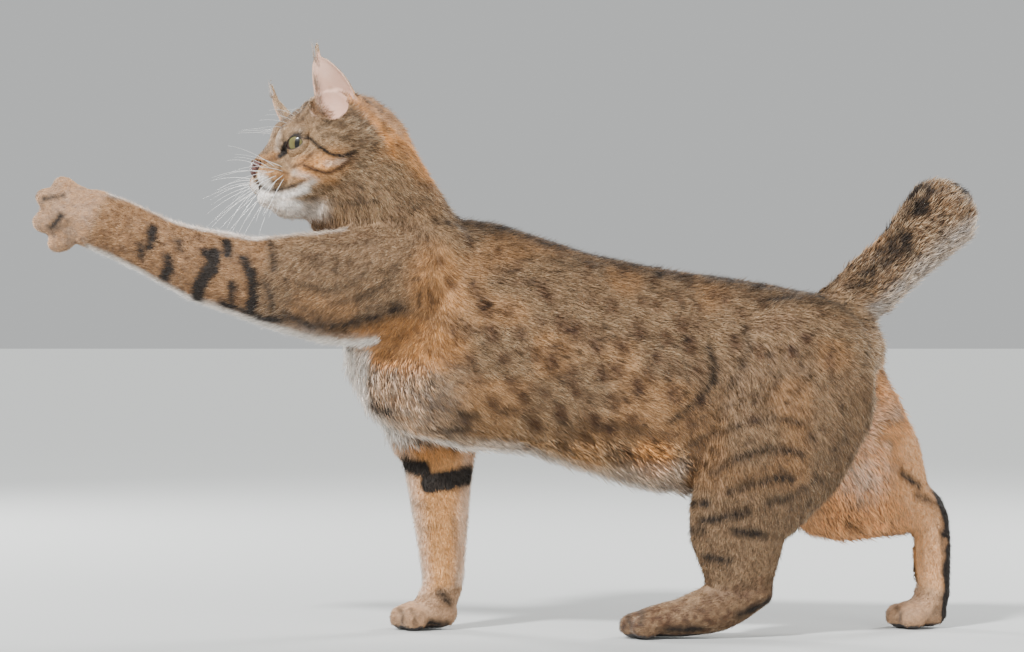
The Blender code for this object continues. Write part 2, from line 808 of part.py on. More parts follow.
def part_the_body(body):
    """Takes the body apart from its ends inwards. What is left at the end is the torso."""
    pieces = {}

    def piece(name, **box):
        pieces[name] = take(body, name, **box)

    piece("forepaw_left", low=(-60, -60, -60), high=(0, 60, 60), turn=(0, 22, 0),
          pivot=(-307, -30, 309))
    piece("forearm_left", low=(-200, -60, -60), high=(0, 60, 46), turn=(0, 14, 0),
          pivot=(-185, -45, 262))
    piece("forepaw_right", low=(-60, -40, -30), high=(60, 40, 0), turn=(0, -12, 0),
          pivot=(-53, RIGHT_FORE_Y, 30))
    piece("hindpaw_left", low=(-140, -40, -80), high=(60, 40, 0), turn=(0, -16, 0),
          pivot=(172, LEFT_HIND_Y, 44))
    piece("hindpaw_right", low=(-60, -30, -40), high=(60, 40, 0), turn=(0, 8, 0),
          pivot=(320, RIGHT_HIND_Y, 30))
    piece("tail", low=(-60, -60, 0), high=(60, 60, 150), turn=(0, 38, 0), pivot=(257, 0, 251))
    piece("shank_left", low=(-46, -45, -120), high=(80, 30, 0), turn=(0, 13, 0),
          pivot=(175, LEFT_HIND_Y, 101))
    piece("hock_right", low=(0, -34, -90), high=(90, 40, 60), turn=(0, -14, 0),
          pivot=(294, RIGHT_HIND_Y, 96))
    piece("upper_arm_left", low=(-110, -90, -50), high=(52, 0, 44), turn=(0, 0, -24),
          pivot=(-98, -27, 262))
    piece("head", low=(-68, -75, 0), high=(110, 75, 160), turn=(0, -43, 0), pivot=(-120, -9, 343))
    piece("neck", low=(-90, -75, 0), high=(85, 75, 100), turn=(0, -38, 0), pivot=(-88, 0, 272))
    piece("foreleg_right", low=(-46, -26, -150), high=(34, 40, 0), turn=(0, -6, 0),
          pivot=(-56, 32, 140))
    piece("thigh_left", low=(-75, -80, -120), high=(90, 0, 140), turn=(22, 0, 0),
          pivot=(205, -20, 132))
    piece("thigh_right", low=(-25, 0, -120), high=(130, 80, 140), turn=(-22, 0, 0),
          pivot=(215, 20, 132))
    pieces["torso"] = body
    body.name = "torso"
    return pieces


def dress(pieces, colour, name, roughness):
    """Gives each piece a material of its own, and smooth shading but for its cut edges."""
    for obj in pieces:
        skin = material(f"{name}_{obj.name}", colour, roughness)
        obj.data.materials.clear()
        obj.data.materials.append(skin)
        obj.data.set_sharp_from_angle(angle=math.radians(40))


def centre_on_floor(pieces):
    """Moves the model so that the origin is under the middle of its bounding box, on the floor."""
    corners = np.array([v.co for obj in pieces for v in obj.data.vertices])
    low, high = corners.min(0), corners.max(0)
    middle = Matrix.Translation((-(low[0] + high[0]) / 2, -(low[1] + high[1]) / 2, -low[2]))
    for obj in pieces:
        obj.data.transform(middle)


def build():
    clear_scene()
    masses = trunk() + neck() + reaching_foreleg() + standing_foreleg()
    masses += crouched_hind_leg() + driving_hind_leg() + tail() + head_masses()
    body = fuse("body", masses)
    soften(body)
    seat_lids(body)
    thin_out(body)
    rest_on_floor(body)
    open_eyes(body)
    mouth_line(body)
    nose = nose_leather(body)
    ears = [ear(1, "right", body), ear(-1, "left", body)]
    eyes = [eyeball(1, "right"), eyeball(-1, "left")]
    flesh = list(part_the_body(body).values())
    everything = flesh + ears + eyes + [nose]
    centre_on_floor(everything)
    dress(flesh, FLESH_COLOUR, "coat", 0.8)
    dress(ears, PALE_COLOUR, "ear", 0.7)
    dress(eyes, IRIS_COLOUR, "eye", 0.1)
    dress([nose], NOSE_COLOUR, "nose_leather", 0.45)
    cat = bpy.data.collections.new("pixie_bob_cat")
    bpy.context.scene.collection.children.link(cat)
    for obj in everything:
        for home in list(obj.users_collection):
            home.objects.unlink(obj)
        cat.objects.link(obj)


build()
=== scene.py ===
"""A still, life-size pixie-bob cat: its skin and coat, eyes, nose and whiskers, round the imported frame.

The cat stands along X with its nose towards -X and its left side towards -Y, on the floor at z = 0.
Lengths are in metres, or in millimetres where MM turns them into metres. A place written as (u, v) is
a place on the cat as its left side is seen: SIDE_SCALE metres a step, u to its rear and v down.
"""

import math

import bmesh
import bpy
import numpy as np
from mathutils import Matrix, Vector
from mathutils.bvhtree import BVHTree
from mathutils.kdtree import KDTree


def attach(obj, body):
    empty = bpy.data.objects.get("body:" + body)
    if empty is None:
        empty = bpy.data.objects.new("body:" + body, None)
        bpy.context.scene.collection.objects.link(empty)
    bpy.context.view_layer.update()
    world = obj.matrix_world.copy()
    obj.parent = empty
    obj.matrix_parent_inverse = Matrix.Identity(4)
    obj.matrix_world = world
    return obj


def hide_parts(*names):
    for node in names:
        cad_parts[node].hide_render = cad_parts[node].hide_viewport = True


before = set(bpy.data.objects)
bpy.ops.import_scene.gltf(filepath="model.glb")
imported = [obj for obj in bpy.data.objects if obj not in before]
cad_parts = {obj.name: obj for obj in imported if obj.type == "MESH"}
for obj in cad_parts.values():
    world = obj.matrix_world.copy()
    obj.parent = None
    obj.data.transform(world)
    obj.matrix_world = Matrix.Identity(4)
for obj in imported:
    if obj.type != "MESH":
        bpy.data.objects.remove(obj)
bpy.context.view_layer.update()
bpy.ops.object.select_all(action="DESELECT")

MM = 0.001

# The side view that the markings are placed in, and the camera that sees it.
SIDE_SCALE = 0.75 * MM
SIDE_U = 508
SIDE_V = 633.3
VIEWPOINT = (0.003, -2.4, 0.2305)
FOCAL_LENGTH = 112.5

# The head's own frame: x runs back from the nose tip, y to the cat's right and z up.
NOSE_TIP = (-193.5, -25, 347)
HEAD_YAW = 23
HEAD_ROLL = -17

# The eyes, in the head's frame.
EYE_AT = (38, 18, 14)
EYE_RADIUS = 11
EYE_OUTWARD = 28
EYE_UPWARD = 4
EYE_WIDTH = 18.5
EYE_HEIGHT = 12.8
EYE_SLANT = 18
IRIS_RADIUS = 7.6
PUPIL_HALF_WIDTH = 1.9
PUPIL_HALF_HEIGHT = 4.6
# how far the gaze turns outwards and down from the middle of the opening
GAZE_OUT = 28
GAZE_DOWN = 7
# the skin round the lids is sought this far out from their edge, by rays from this far off
LID_SEARCH = (0.6, 9.0, 0.3)
LID_RAY = 22
LID_HAIR = 2.6
LID_TUFTS = 1800

# Whiskers bend back from this distance to each side, within so much more.
WHISKER_SIDE = 60
WHISKER_BEND = 12

# The opening between the lids, in the eyeball's frame: towards the nose, and up.
LID_LINE = [
    (7.0, -4.6), (5.2, -2.2), (3.2, 0.2), (0.8, 2.1), (-2.0, 3.2), (-4.8, 3.2), (-7.0, 2.2), (-8.6, 0.8),
    (-9.2, -0.6), (-8.2, -2.6), (-6.2, -4.4), (-3.8, -5.6), (-1.2, -6.2), (1.6, -6.2), (4.0, -5.8),
    (6.0, -5.2),
]

# The ears: foot and tip of each, in the head's frame.
EAR_BASE = {"left": (62, 34, 30), "right": (60, 35, 32)}
EAR_TIP = {"left": (44.5, 43, 75), "right": (39.5, 47, 77)}
EAR_OPENING = (-0.68, 0.68, -0.2)
# the bowl at the foot of each ear: its half sizes, and how far up and out its middle is
EAR_BOWL = (14.5, 19.0, 14.0)
EAR_BOWL_UP = {"left": 15.0, "right": 9.0}
EAR_BOWL_OUT = {"left": 12.0, "right": 3.0}

# The skin: edge of a voxel, about how many triangles it has in the end, and the longest side of one.
SKIN_VOXEL = 0.95 * MM
SKIN_TRIANGLES = 98_000
SKIN_LONGEST_SIDE = 5.2 * MM

# The coat: share of a tuft's length by which it stands over the skin, and tufts in all.
COAT_RISE = 0.36
LONG_TUFTS = 48_000
SHORT_TUFTS = 238_000
# hair longer than this is made of long tufts, which bend
LONG_HAIR = 10.6
LONG_TUFT_FACES = 10
SHORT_TUFT_FACES = 4
PIECE_FACES = 190_000
# side of a tuft's patch in the map OFBake
PATCH = 0.003
# place along a hair whose colour the skin takes
SKIN_ALONG = 0.35
# the longest hair on the ears, in millimetres
EAR_HAIR_LIMIT = 2.4
# how deep the skin is set in on the ears, in how many steps it is, and how high the pads reach
EAR_DEPTH = 0.3
DEPTH_STEPS = 5
PAD_TOP = 4 * MM

# Hair length in millimetres on each part.
HAIR = {
    "head": 5.0, "neck": 8.5, "torso": 8.8, "tail": 11.0,
    "upper_arm_left": 7.6, "forearm_left": 6.2, "forepaw_left": 3.4,
    "foreleg_right": 5.4, "forepaw_right": 3.4,
    "thigh_left": 8.4, "shank_left": 6.4, "hindpaw_left": 3.8,
    "thigh_right": 9.0, "hock_right": 5.2, "hindpaw_right": 3.4,
    "ear_left": 2.2, "ear_right": 2.2,
}

# The way the hair lies on each part, which the skin's curve then bends.
LIE = {
    "neck": (0.55, 0, -0.84), "torso": (0.93, 0, -0.37), "tail": (0.74, 0, 0.67),
    "upper_arm_left": (-0.75, 0, -0.45), "forearm_left": (-0.95, 0, 0.12),
    "forepaw_left": (-1, 0, 0.15), "foreleg_right": (0.02, 0, -1), "forepaw_right": (-0.8, 0, -0.5),
    "thigh_left": (0.45, 0, -0.89), "shank_left": (-0.1, 0, -1), "hindpaw_left": (-0.95, 0, -0.3),
    "thigh_right": (0.5, 0, -0.86), "hock_right": (0.1, 0, -1), "hindpaw_right": (-0.8, 0, -0.5),
}
EARS = ["ear_left", "ear_right"]
FLESH = [name for name in HAIR if name not in EARS]
PARTS = FLESH + EARS
# the hair of the head lies away from here, in the head's frame
NOSE_TOP = (-4, 0, 3)


# Places and small helpers.


def head_matrix():
    turn = Matrix.Rotation(math.radians(HEAD_YAW), 4, "Z") @ Matrix.Rotation(
        math.radians(HEAD_ROLL), 4, "X"
    )
    return Matrix.Translation(Vector(NOSE_TIP) * MM) @ turn


HEAD = head_matrix()


def eye_frame(sign):
    """The eyeball's own frame: -X is the way it looks, and Z is up along its opening."""
    x, y, z = EYE_AT
    return (
        HEAD
        @ Matrix.Translation(Vector((x, sign * y, z)) * MM)
        @ Matrix.Rotation(math.radians(-sign * EYE_OUTWARD), 4, "Z")
        @ Matrix.Rotation(math.radians(EYE_UPWARD), 4, "Y")
        @ Matrix.Rotation(math.radians(-sign * EYE_SLANT), 4, "X")
    )


def ear_axes(word):
    sign = 1 if word == "right" else -1
    mirror = np.array([1, sign, 1])
    base, tip = np.array(EAR_BASE[word]) * mirror, np.array(EAR_TIP[word]) * mirror
    axis = unit(tip - base)
    way = np.array(EAR_OPENING) * mirror
    way = unit(way - axis * (way @ axis))
    across = np.cross(way, axis) * sign
    return sign, base, tip, axis, way, across


def on_head(points):
    """Places in the head's frame, in millimetres, as places in the world."""
    m = np.array(HEAD)
    return np.asarray(points, float) * MM @ m[:3, :3].T + m[:3, 3]


def in_frame(points, matrix):
    """World places as millimetres in a frame."""
    m = np.array(matrix.inverted())
    return (points @ m[:3, :3].T + m[:3, 3]) / MM


def unit(vectors):
    return vectors / np.maximum(np.linalg.norm(vectors, axis=-1, keepdims=True), 1e-9)


def smoothstep(low, high, x):
    t = np.clip((x - low) / (high - low), 0, 1)
    return t * t * (3 - 2 * t)


def noise(points, size, seed):
    """Smooth noise from 0 to 1 over space, with lumps of the given size."""
    q = points / size
    cell = np.floor(q).astype(np.int64)
    f = q - cell
    f = f * f * (3 - 2 * f)
    total = np.zeros(len(points))
    for corner in range(8):
        step = np.array([corner & 1, corner >> 1 & 1, corner >> 2 & 1])
        x, y, z = (cell + step).T
        key = (x * 73856093) ^ (y * 19349663) ^ (z * 83492791) ^ (seed * 2654435)
        key = (key ^ (key >> 13)) * 1274126177 & 0x7FFFFFFF
        value = (key ^ (key >> 16)) % 65536 / 65535
        weight = np.prod(np.where(step, f, 1 - f), axis=1)
        total += value * weight
    return total


def read(stock, key, width=3, kind=np.float32):
    found = np.empty(len(stock) * width, kind)
    stock.foreach_get(key, found)
    return found.reshape(-1, width)


def places(obj):
    return read(obj.data.vertices, "co").astype(float)


def vertex_normals(obj):
    return read(obj.data.vertex_normals, "vector").astype(float)


def edges_of(obj):
    return read(obj.data.edges, "vertices", 2, np.int32)


def triangles(obj):
    obj.data.calc_loop_triangles()
    return read(obj.data.loop_triangles, "vertices", kind=np.int32)


def mesh_object(name, verts, faces):
    """An object from arrays, or lists, of places and of faces."""
    mesh = bpy.data.meshes.new(name)
    verts = np.asarray(verts, np.float32)
    if isinstance(faces, np.ndarray):
        count, sides = faces.shape
        mesh.vertices.add(len(verts))
        mesh.vertices.foreach_set("co", verts.ravel())
        mesh.loops.add(count * sides)
        mesh.loops.foreach_set("vertex_index", faces.ravel())
        mesh.polygons.add(count)
        mesh.polygons.foreach_set("loop_start", np.arange(count) * sides)
        mesh.update(calc_edges=True)
    else:
        mesh.from_pydata([tuple(v) for v in verts], [], faces)
    obj = bpy.data.objects.new(name, mesh)
    bpy.context.scene.collection.objects.link(obj)
    mesh.shade_smooth()
    return obj


def keep_attribute(obj, name, values):
    kind = "FLOAT" if values.ndim == 1 else "FLOAT_VECTOR"
    layer = obj.data.attributes.new(name, kind, "POINT")
    layer.data.foreach_set("value" if values.ndim == 1 else "vector",
                           np.ascontiguousarray(values, np.float32).ravel())


def activate(obj):
    bpy.ops.object.select_all(action="DESELECT")
    obj.select_set(True)
    bpy.context.view_layer.objects.active = obj


def modify(obj, kind, **settings):
    """Adds a modifier with the given settings and applies it."""
    step = obj.modifiers.new(kind.lower(), kind)
    for key, value in settings.items():
        setattr(step, key, value)
    activate(obj)
    bpy.ops.object.modifier_apply(modifier=step.name)


def weigh(obj, name, weights, levels=20):
    """A vertex group from an array of weights, in a few levels."""
    group = obj.vertex_groups.new(name=name)
    found = np.round(np.clip(weights, 0, 1) * levels).astype(int)
    for level in range(1, levels + 1):
        chosen = np.flatnonzero(found == level)
        if len(chosen):
            group.add(chosen.tolist(), level / levels, "REPLACE")


def node_copy(name):
    """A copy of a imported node's mesh with its loose triangles merged."""
    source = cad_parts[name]
    obj = bpy.data.objects.new(f"{name}_form", source.data.copy())
    bpy.context.scene.collection.objects.link(obj)
    obj.data.materials.clear()
    form = bmesh.new()
    form.from_mesh(obj.data)
    bmesh.ops.remove_doubles(form, verts=form.verts, dist=0.00002)
    form.to_mesh(obj.data)
    form.free()
    return obj


def face_outwards(obj):
    """Turns a closed mesh's faces outwards and smooths it."""
    form = bmesh.new()
    form.from_mesh(obj.data)
    bmesh.ops.recalc_face_normals(form, faces=form.faces)
    form.to_mesh(obj.data)
    form.free()
    obj.data.shade_smooth()


def spread(values, pairs, rounds):
    """Evens out an array of values over the mesh's edges."""
    a, b = pairs.T
    n = len(values)
    count = np.bincount(a, minlength=n) + np.bincount(b, minlength=n)
    columns = values.reshape(n, -1)
    for _ in range(rounds):
        columns = np.stack([(c + np.bincount(a, c[b], n) + np.bincount(b, c[a], n)) / (1 + count)
                            for c in columns.T], axis=1)
    return columns.reshape(values.shape)


# The skin.


def tree_of(stock):
    tree = KDTree(len(stock))
    for i, p in enumerate(stock):
        tree.insert(p, i)
    tree.balance()
    return tree


def parts_of(points):
    """Which part each point is on: the one with the nearest vertex."""
    stock = [places(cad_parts[name]) for name in PARTS]
    owner = np.concatenate([np.full(len(co), k) for k, co in enumerate(stock)])
    tree = tree_of(np.concatenate(stock))
    return owner[[tree.find(p)[1] for p in points]]


def on_part(owner, *wanted):
    return np.isin(owner, [PARTS.index(name) for name in wanted])


def raw_skin():
    """All flesh and ears as one closed surface, at the tips of the coat."""
    pieces = []
    for name in PARTS:
        piece = node_copy(name)
        swell = 0.30 * MM if name in FLESH else 0.15 * MM
        modify(piece, "DISPLACE", strength=swell, mid_level=0)
        pieces.append(piece)
    bpy.ops.object.select_all(action="DESELECT")
    for piece in pieces:
        piece.select_set(True)
    bpy.context.view_layer.objects.active = pieces[0]
    bpy.ops.object.join()
    skin = bpy.context.object
    skin.name = skin.data.name = "skin"
    modify(skin, "REMESH", mode="VOXEL", voxel_size=SKIN_VOXEL, adaptivity=0)
    return skin


def face_weight(points):
    """1 on the face, ears and paws, where the skin keeps its detail, and 0 elsewhere."""
    seen = in_frame(points, HEAD)
    far = np.linalg.norm(seen - np.array([30, 0, 10]), axis=1)
    ears = smoothstep(30, 38, seen[:, 2]) * smoothstep(95, 80, seen[:, 0]) * (np.abs(seen[:, 1]) > 14)
    paws = np.maximum(smoothstep(34, 22, points[:, 2] / MM), smoothstep(-300, -312, points[:, 0] / MM))
    return np.maximum(np.maximum(smoothstep(62, 46, far), ears), 0.85 * paws)


def skin_tone(marks, points, lump):
    """How warm the skin's hair is, the place along it that the skin takes, and its shade."""
    return np.stack([marks[:, 3], np.full(len(points), SKIN_ALONG), noise(points, lump, 21)], axis=1)


def make_skin():
    """The skin, and what is known of its fine form before most of its triangles are merged."""
    skin = raw_skin()
    weigh(skin, "body", 1 - face_weight(places(skin)))
    modify(skin, "SMOOTH", factor=0.5, iterations=24, vertex_group="body")
    modify(skin, "SMOOTH", factor=0.5, iterations=3)
    skin.vertex_groups.clear()
    points = places(skin)
    full = {
        "points": points, "normals": vertex_normals(skin), "pairs": edges_of(skin),
        "owner": parts_of(points), "near": tree_of(points),
        "tree": BVHTree.FromObject(skin, bpy.context.evaluated_depsgraph_get()),
    }
    weigh(skin, "coarse", 1 - face_weight(points))
    ratio = SKIN_TRIANGLES / len(triangles(skin))
    modify(skin, "DECIMATE", ratio=ratio, vertex_group="coarse", vertex_group_factor=2)
    modify(skin, "TRIANGULATE")
    skin.vertex_groups.clear()
    form = bmesh.new()
    form.from_mesh(skin.data)
    for _ in range(4):
        long_sides = [e for e in form.edges if e.calc_length() > SKIN_LONGEST_SIDE]
        if not long_sides:
            break
        bmesh.ops.subdivide_edges(form, edges=long_sides, cuts=1)
        bmesh.ops.triangulate(form, faces=[f for f in form.faces if len(f.verts) > 3])
    form.to_mesh(skin.data)
    form.free()
    return skin, full


def nearest(full, points):
    """For each point, the number of the fine form's nearest vertex."""
    find = full["near"].find
    return np.array([find(p)[1] for p in points])


# What is known of each place on the skin: its part, hair length, lie and markings.


def hair_length(points, owner, pairs):
    """Millimetres of hair at each place, with nothing sudden between parts."""
    length = np.array([HAIR[name] for name in PARTS])[owner]
    seen = in_frame(points, HEAD)
    head, torso = on_part(owner, "head"), on_part(owner, "torso")
    back = smoothstep(30, 92, seen[:, 0])
    muzzle = 2.2 + 1.6 * smoothstep(8, 34, seen[:, 0])
    length = np.where(head, muzzle + 5.5 * back, length)
    # cheeks and chin are longer than the bridge of the nose and the brow
    low = smoothstep(-4, -26, seen[:, 2]) * smoothstep(10, 40, seen[:, 0])
    length = np.where(head, length + 2.5 * low, length)
    x, y, z = points.T / MM
    belly = smoothstep(160, 118, z) * torso
    chest = smoothstep(-50, -85, x) * smoothstep(235, 200, z) * torso
    rear = on_part(owner, "thigh_right", "torso") * smoothstep(225, 262, x) * smoothstep(200, 165, z)
    evened = spread(length + 6 * belly + 7 * chest + 4 * rear, pairs, 14)
    return np.where(on_part(owner, *EARS), np.minimum(evened, EAR_HAIR_LIMIT), evened)


def hair_lie(points, normals, owner, pairs):
    """The direction of the hair at each place, along the skin."""
    lie = np.array([LIE.get(name, (0, 0, 0)) for name in PARTS], float)[owner]
    head, torso = on_part(owner, "head"), on_part(owner, "torso")
    lie[head] = unit(points - on_head([NOSE_TOP]))[head]
    x, y, z = points.T / MM
    chest = torso * smoothstep(-40, -85, x) * smoothstep(250, 210, z)
    lie = lie * (1 - chest[:, None]) + np.outer(chest, (0.25, 0, -0.97))
    low = torso * smoothstep(175, 120, z)
    lie = lie * (1 - 0.6 * low[:, None]) + 0.6 * np.outer(low, (0.45, 0, -0.9))
    for word in ("right", "left"):
        _, base, tip, *_ = ear_axes(word)
        lie[on_part(owner, f"ear_{word}")] = unit(np.diff(on_head([base, tip]), axis=0))
    lie = unit(lie)
    for _ in range(5):
        lie = spread(lie, pairs, 6)
        lie -= normals * (lie * normals).sum(1)[:, None]
        lie = unit(lie)
    return lie


# Markings, and a few strokes of painted shade: rows of (u, v) along each mark, its half width in steps of
# the side view, and its strength.
FACE_MARKS = [
    # from the eye's outer corner across the cheek
    ([(302, 135), (306, 137), (311, 140), (318, 146), (325, 151), (333, 155), (341, 156),
      (349, 155), (357, 151)], 1.6, 0.92),
    # from the inner corner towards the nose, and along the lids
    ([(291, 148), (287, 150.5), (280, 155.5)], 2.2, 1.0),
    ([(289.5, 141), (287, 146.5), (283, 151.5)], 3.2, 1.0),
    ([(288, 126), (284, 129)], 2.0, 0.5),
    # the line of the mouth
    ([(256, 183), (262, 188), (270, 190.5), (280, 190), (289, 187), (297, 184), (304, 181)], 1.25, 0.85),
    ([(330, 206), (345, 204), (360, 203), (377, 202)], 1.5, 0.5),
    ([(300, 120), (306, 112), (313, 106)], 1.8, 0.4),
    ([(296, 116), (301, 108)], 1.4, 0.4),
    ([(318, 128), (330, 122), (344, 124)], 3.0, 0.32),
    ([(322, 136), (334, 134), (348, 138)], 2.6, 0.30),
]
# rust lines: under the eye and across the cheek
FACE_RUST = [
    ([(304, 165), (311, 168), (318, 171), (326, 173.5), (333, 172), (341, 168), (350, 161), (354, 154)],
     2.3, 1.0),
    ([(312, 153), (306, 159), (300, 163.5), (293, 166)], 1.7, 0.9),
    ([(318, 152), (312, 159), (304, 164)], 0.9, 0.5),
    ([(283, 156), (288, 161), (292, 168)], 0.9, 0.7),
    ([(262, 170), (270, 168), (279, 169), (287, 173)], 1.2, 0.5),
    ([(266, 176), (274, 175), (283, 177)], 1.1, 0.5),
    ([(266, 182), (275, 182), (284, 182)], 1.1, 0.5),
    ([(260, 163), (268, 160), (278, 156)], 3.6, 0.75),
    ([(312, 204), (318, 195), (322, 186)], 1.6, 0.55),
    ([(318, 190), (330, 190), (345, 184), (356, 176)], 4.0, 0.30),
    ([(340, 120), (352, 132), (356, 146)], 3.0, 0.35),
]
# white and cream: chin, lip and throat, beside the bridge of the nose, over and under the eye
FACE_PALE = [
    ([(254, 190), (262, 198), (272, 203), (284, 207), (298, 209)], 7.5, 1.0),
    ([(272, 196), (284, 196), (298, 193), (306, 190)], 4.0, 1.0),
    ([(300, 188), (308, 185), (314, 182)], 2.2, 0.8),
    ([(251, 182), (253, 188)], 2.0, 0.95),
    ([(278, 148), (279, 143), (281, 137)], 2.2, 0.24),
    ([(294, 172), (301, 175), (309, 177), (315, 181)], 2.2, 0.42),
    ([(292, 129.5), (298, 129.5), (304, 130.5)], 1.2, 0.4),
    ([(326, 163), (336, 162.5), (345, 160)], 1.6, 0.30),
]
EAR_FRONT = [([(309, 96), (312, 104), (318, 112), (326, 119), (336, 123)], 7.0, 1.0)]
NOSE_BRIDGE = [
    ([(258, 163), (266, 160), (275, 156)], 4.2, 0.95), ([(258, 172), (270, 173), (284, 176)], 5.5, 0.62),
    ([(300, 172), (316, 180), (334, 180)], 6.0, 0.42),
    ([(354, 96), (366, 108), (380, 122), (390, 138), (396, 152)], 7.0, 1.0),
    ([(364, 98), (378, 110), (392, 126), (402, 144)], 6.0, 0.9),
]
DARK_MARKS = [
    # the reaching foreleg
    ([(152, 227), (151, 240), (147, 247)], 4.5, 0.75),
    ([(139, 246), (140, 256)], 3.5, 0.65),
    ([(166, 258), (168, 268), (162, 279)], 4.5, 0.8),
    ([(178, 240), (179, 249)], 4.0, 0.45),
    ([(214, 252), (211, 263), (203, 276), (197, 290), (196, 301)], 6.0, 1.0),
    ([(205, 252), (212, 258), (213, 270)], 4.5, 0.8),
    ([(226, 240), (227, 253)], 4.0, 0.95),
    ([(243, 258), (249, 270), (252, 285), (251, 300), (248, 314)], 4.5, 0.95),
    ([(231, 284), (229, 301)], 3.5, 0.7),
    ([(222, 306), (240, 312), (262, 321), (275, 322)], 4.5, 0.75),
    ([(268, 238), (272, 252), (273, 268)], 3.5, 0.5),
    ([(262, 280), (272, 300), (270, 318)], 3.5, 0.45),
    ([(310, 262), (330, 268), (350, 262)], 2.6, 0.3),
    ([(300, 285), (325, 292), (350, 284), (368, 270)], 2.8, 0.35),
    ([(330, 305), (360, 300), (385, 285), (398, 265)], 2.8, 0.38),
    ([(320, 240), (345, 246), (370, 240)], 2.4, 0.28),
    # the standing foreleg
    ([(376, 410), (388, 413)], 5.0, 0.7),
    ([(403, 466), (422, 470)], 8.0, 0.95),
    ([(428, 484), (450, 481), (470, 476)], 8.5, 1.25),
    ([(424, 430), (445, 436), (466, 432)], 3.5, 0.45),
    ([(412, 505), (430, 510)], 2.0, 0.4),
    ([(418, 530), (436, 528)], 1.8, 0.3),
    # the left thigh and foot
    ([(706, 474), (719, 470), (738, 459), (757, 452), (780, 450), (803, 455)], 4.0, 0.50),
    ([(728, 492), (750, 486), (772, 481), (793, 481)], 4.2, 0.52),
    ([(700, 522), (722, 519), (747, 514)], 4.0, 0.62),
    ([(735, 533), (764, 536)], 4.0, 0.62),
    ([(703, 559), (729, 562)], 3.5, 0.65),
    ([(684, 504), (706, 504)], 3.5, 0.7),
    ([(687, 532), (701, 531)], 3.5, 0.6),
    ([(770, 505), (790, 500), (806, 490)], 3.6, 0.45),
    ([(690, 448), (712, 436), (742, 424), (772, 419), (806, 424)], 2.8, 0.42),
    ([(716, 412), (744, 398), (776, 390)], 2.6, 0.34),
    # the flank
    ([(710, 347), (716, 365), (715, 382), (696, 405), (672, 423)], 4.0, 0.5),
    ([(746, 326), (749, 345), (744, 362), (731, 388)], 3.6, 0.42),
    ([(781, 374), (774, 386), (764, 400)], 3.4, 0.35),
    ([(812, 372), (802, 390), (790, 402)], 3.2, 0.3),
    ([(560, 425), (590, 432), (615, 428), (640, 434)], 5.0, 0.25),
    ([(462, 417), (478, 419)], 5.0, 0.45),
    # the spine
    ([(404, 136), (420, 160), (436, 186), (455, 208)], 3.0, 0.30),
]
SOFT_MARKS_AND_TOE_SHADE = [
    # the toes, where the dark lines between them are painted shade in their gaps, the wrist and the heels
    ([(43, 199), (50, 197), (62, 195)], 0.9, 1.0),
    ([(50, 228), (56, 221), (60, 216)], 2.0, 1.0),
    ([(52, 233), (60, 226), (70, 222)], 0.9, 0.8),
    ([(440, 592), (450, 604)], 3.5, 0.75),
    ([(430, 624), (446, 625)], 3.5, 0.8),
    ([(455, 520), (460, 560), (456, 590)], 2.0, 0.35),
    ([(668, 631), (684, 631), (700, 630)], 3.0, 0.8),
    ([(740, 616), (755, 610), (770, 602)], 4.0, 0.8),
    # more dark lines between the toes: painted shade in their gaps
    ([(624, 608), (628, 614), (627, 622)], 0.7, 0.8),
    ([(637, 606), (642, 613), (641, 624)], 0.7, 0.8),
    ([(896, 607), (900, 613), (899, 622)], 0.7, 0.8),
    ([(397, 606), (402, 612), (401, 623)], 0.7, 0.8),
    ([(410, 608), (415, 614), (414, 625)], 0.7, 0.7),
    # the right hind leg
    ([(850, 528), (860, 531)], 4.0, 0.5),
    ([(886, 534), (892, 535)], 4.0, 0.4),
    ([(904, 474), (920, 486)], 4.0, 0.75),
    ([(920, 496), (936, 502)], 4.5, 0.6),
    ([(944, 494), (953, 512), (958, 534), (960, 556), (957, 603), (948, 630)], 2.8, 0.95),
    # the tail
    ([(915, 198), (916, 208)], 7.0, 0.6),
    ([(905, 234), (910, 248)], 7.0, 0.55),
    ([(880, 250), (892, 240), (899, 230)], 6.0, 0.5),
    ([(868, 272), (884, 262), (893, 258)], 6.0, 0.5),
    ([(925, 178), (940, 178), (958, 183)], 6.0, 0.6),
    ([(850, 284), (868, 282)], 5.0, 0.5),
    ([(906, 212), (922, 190)], 8.0, 0.4),
]
DARK_CLOUDS_AND_ARM_SHADE = [
    # painted shade along the lower side of the reaching arm
    ([(285, 320), (310, 328), (340, 328), (370, 320), (400, 308)], 5.0, 0.75),
    ([(290, 300), (310, 315), (340, 322)], 4.0, 0.4),
    ([(300, 255), (330, 262), (355, 280)], 3.0, 0.22),
    ([(462, 212), (500, 219), (540, 233), (600, 248), (660, 258), (720, 266), (780, 280), (826, 286)],
     4.0, 0.5),
]
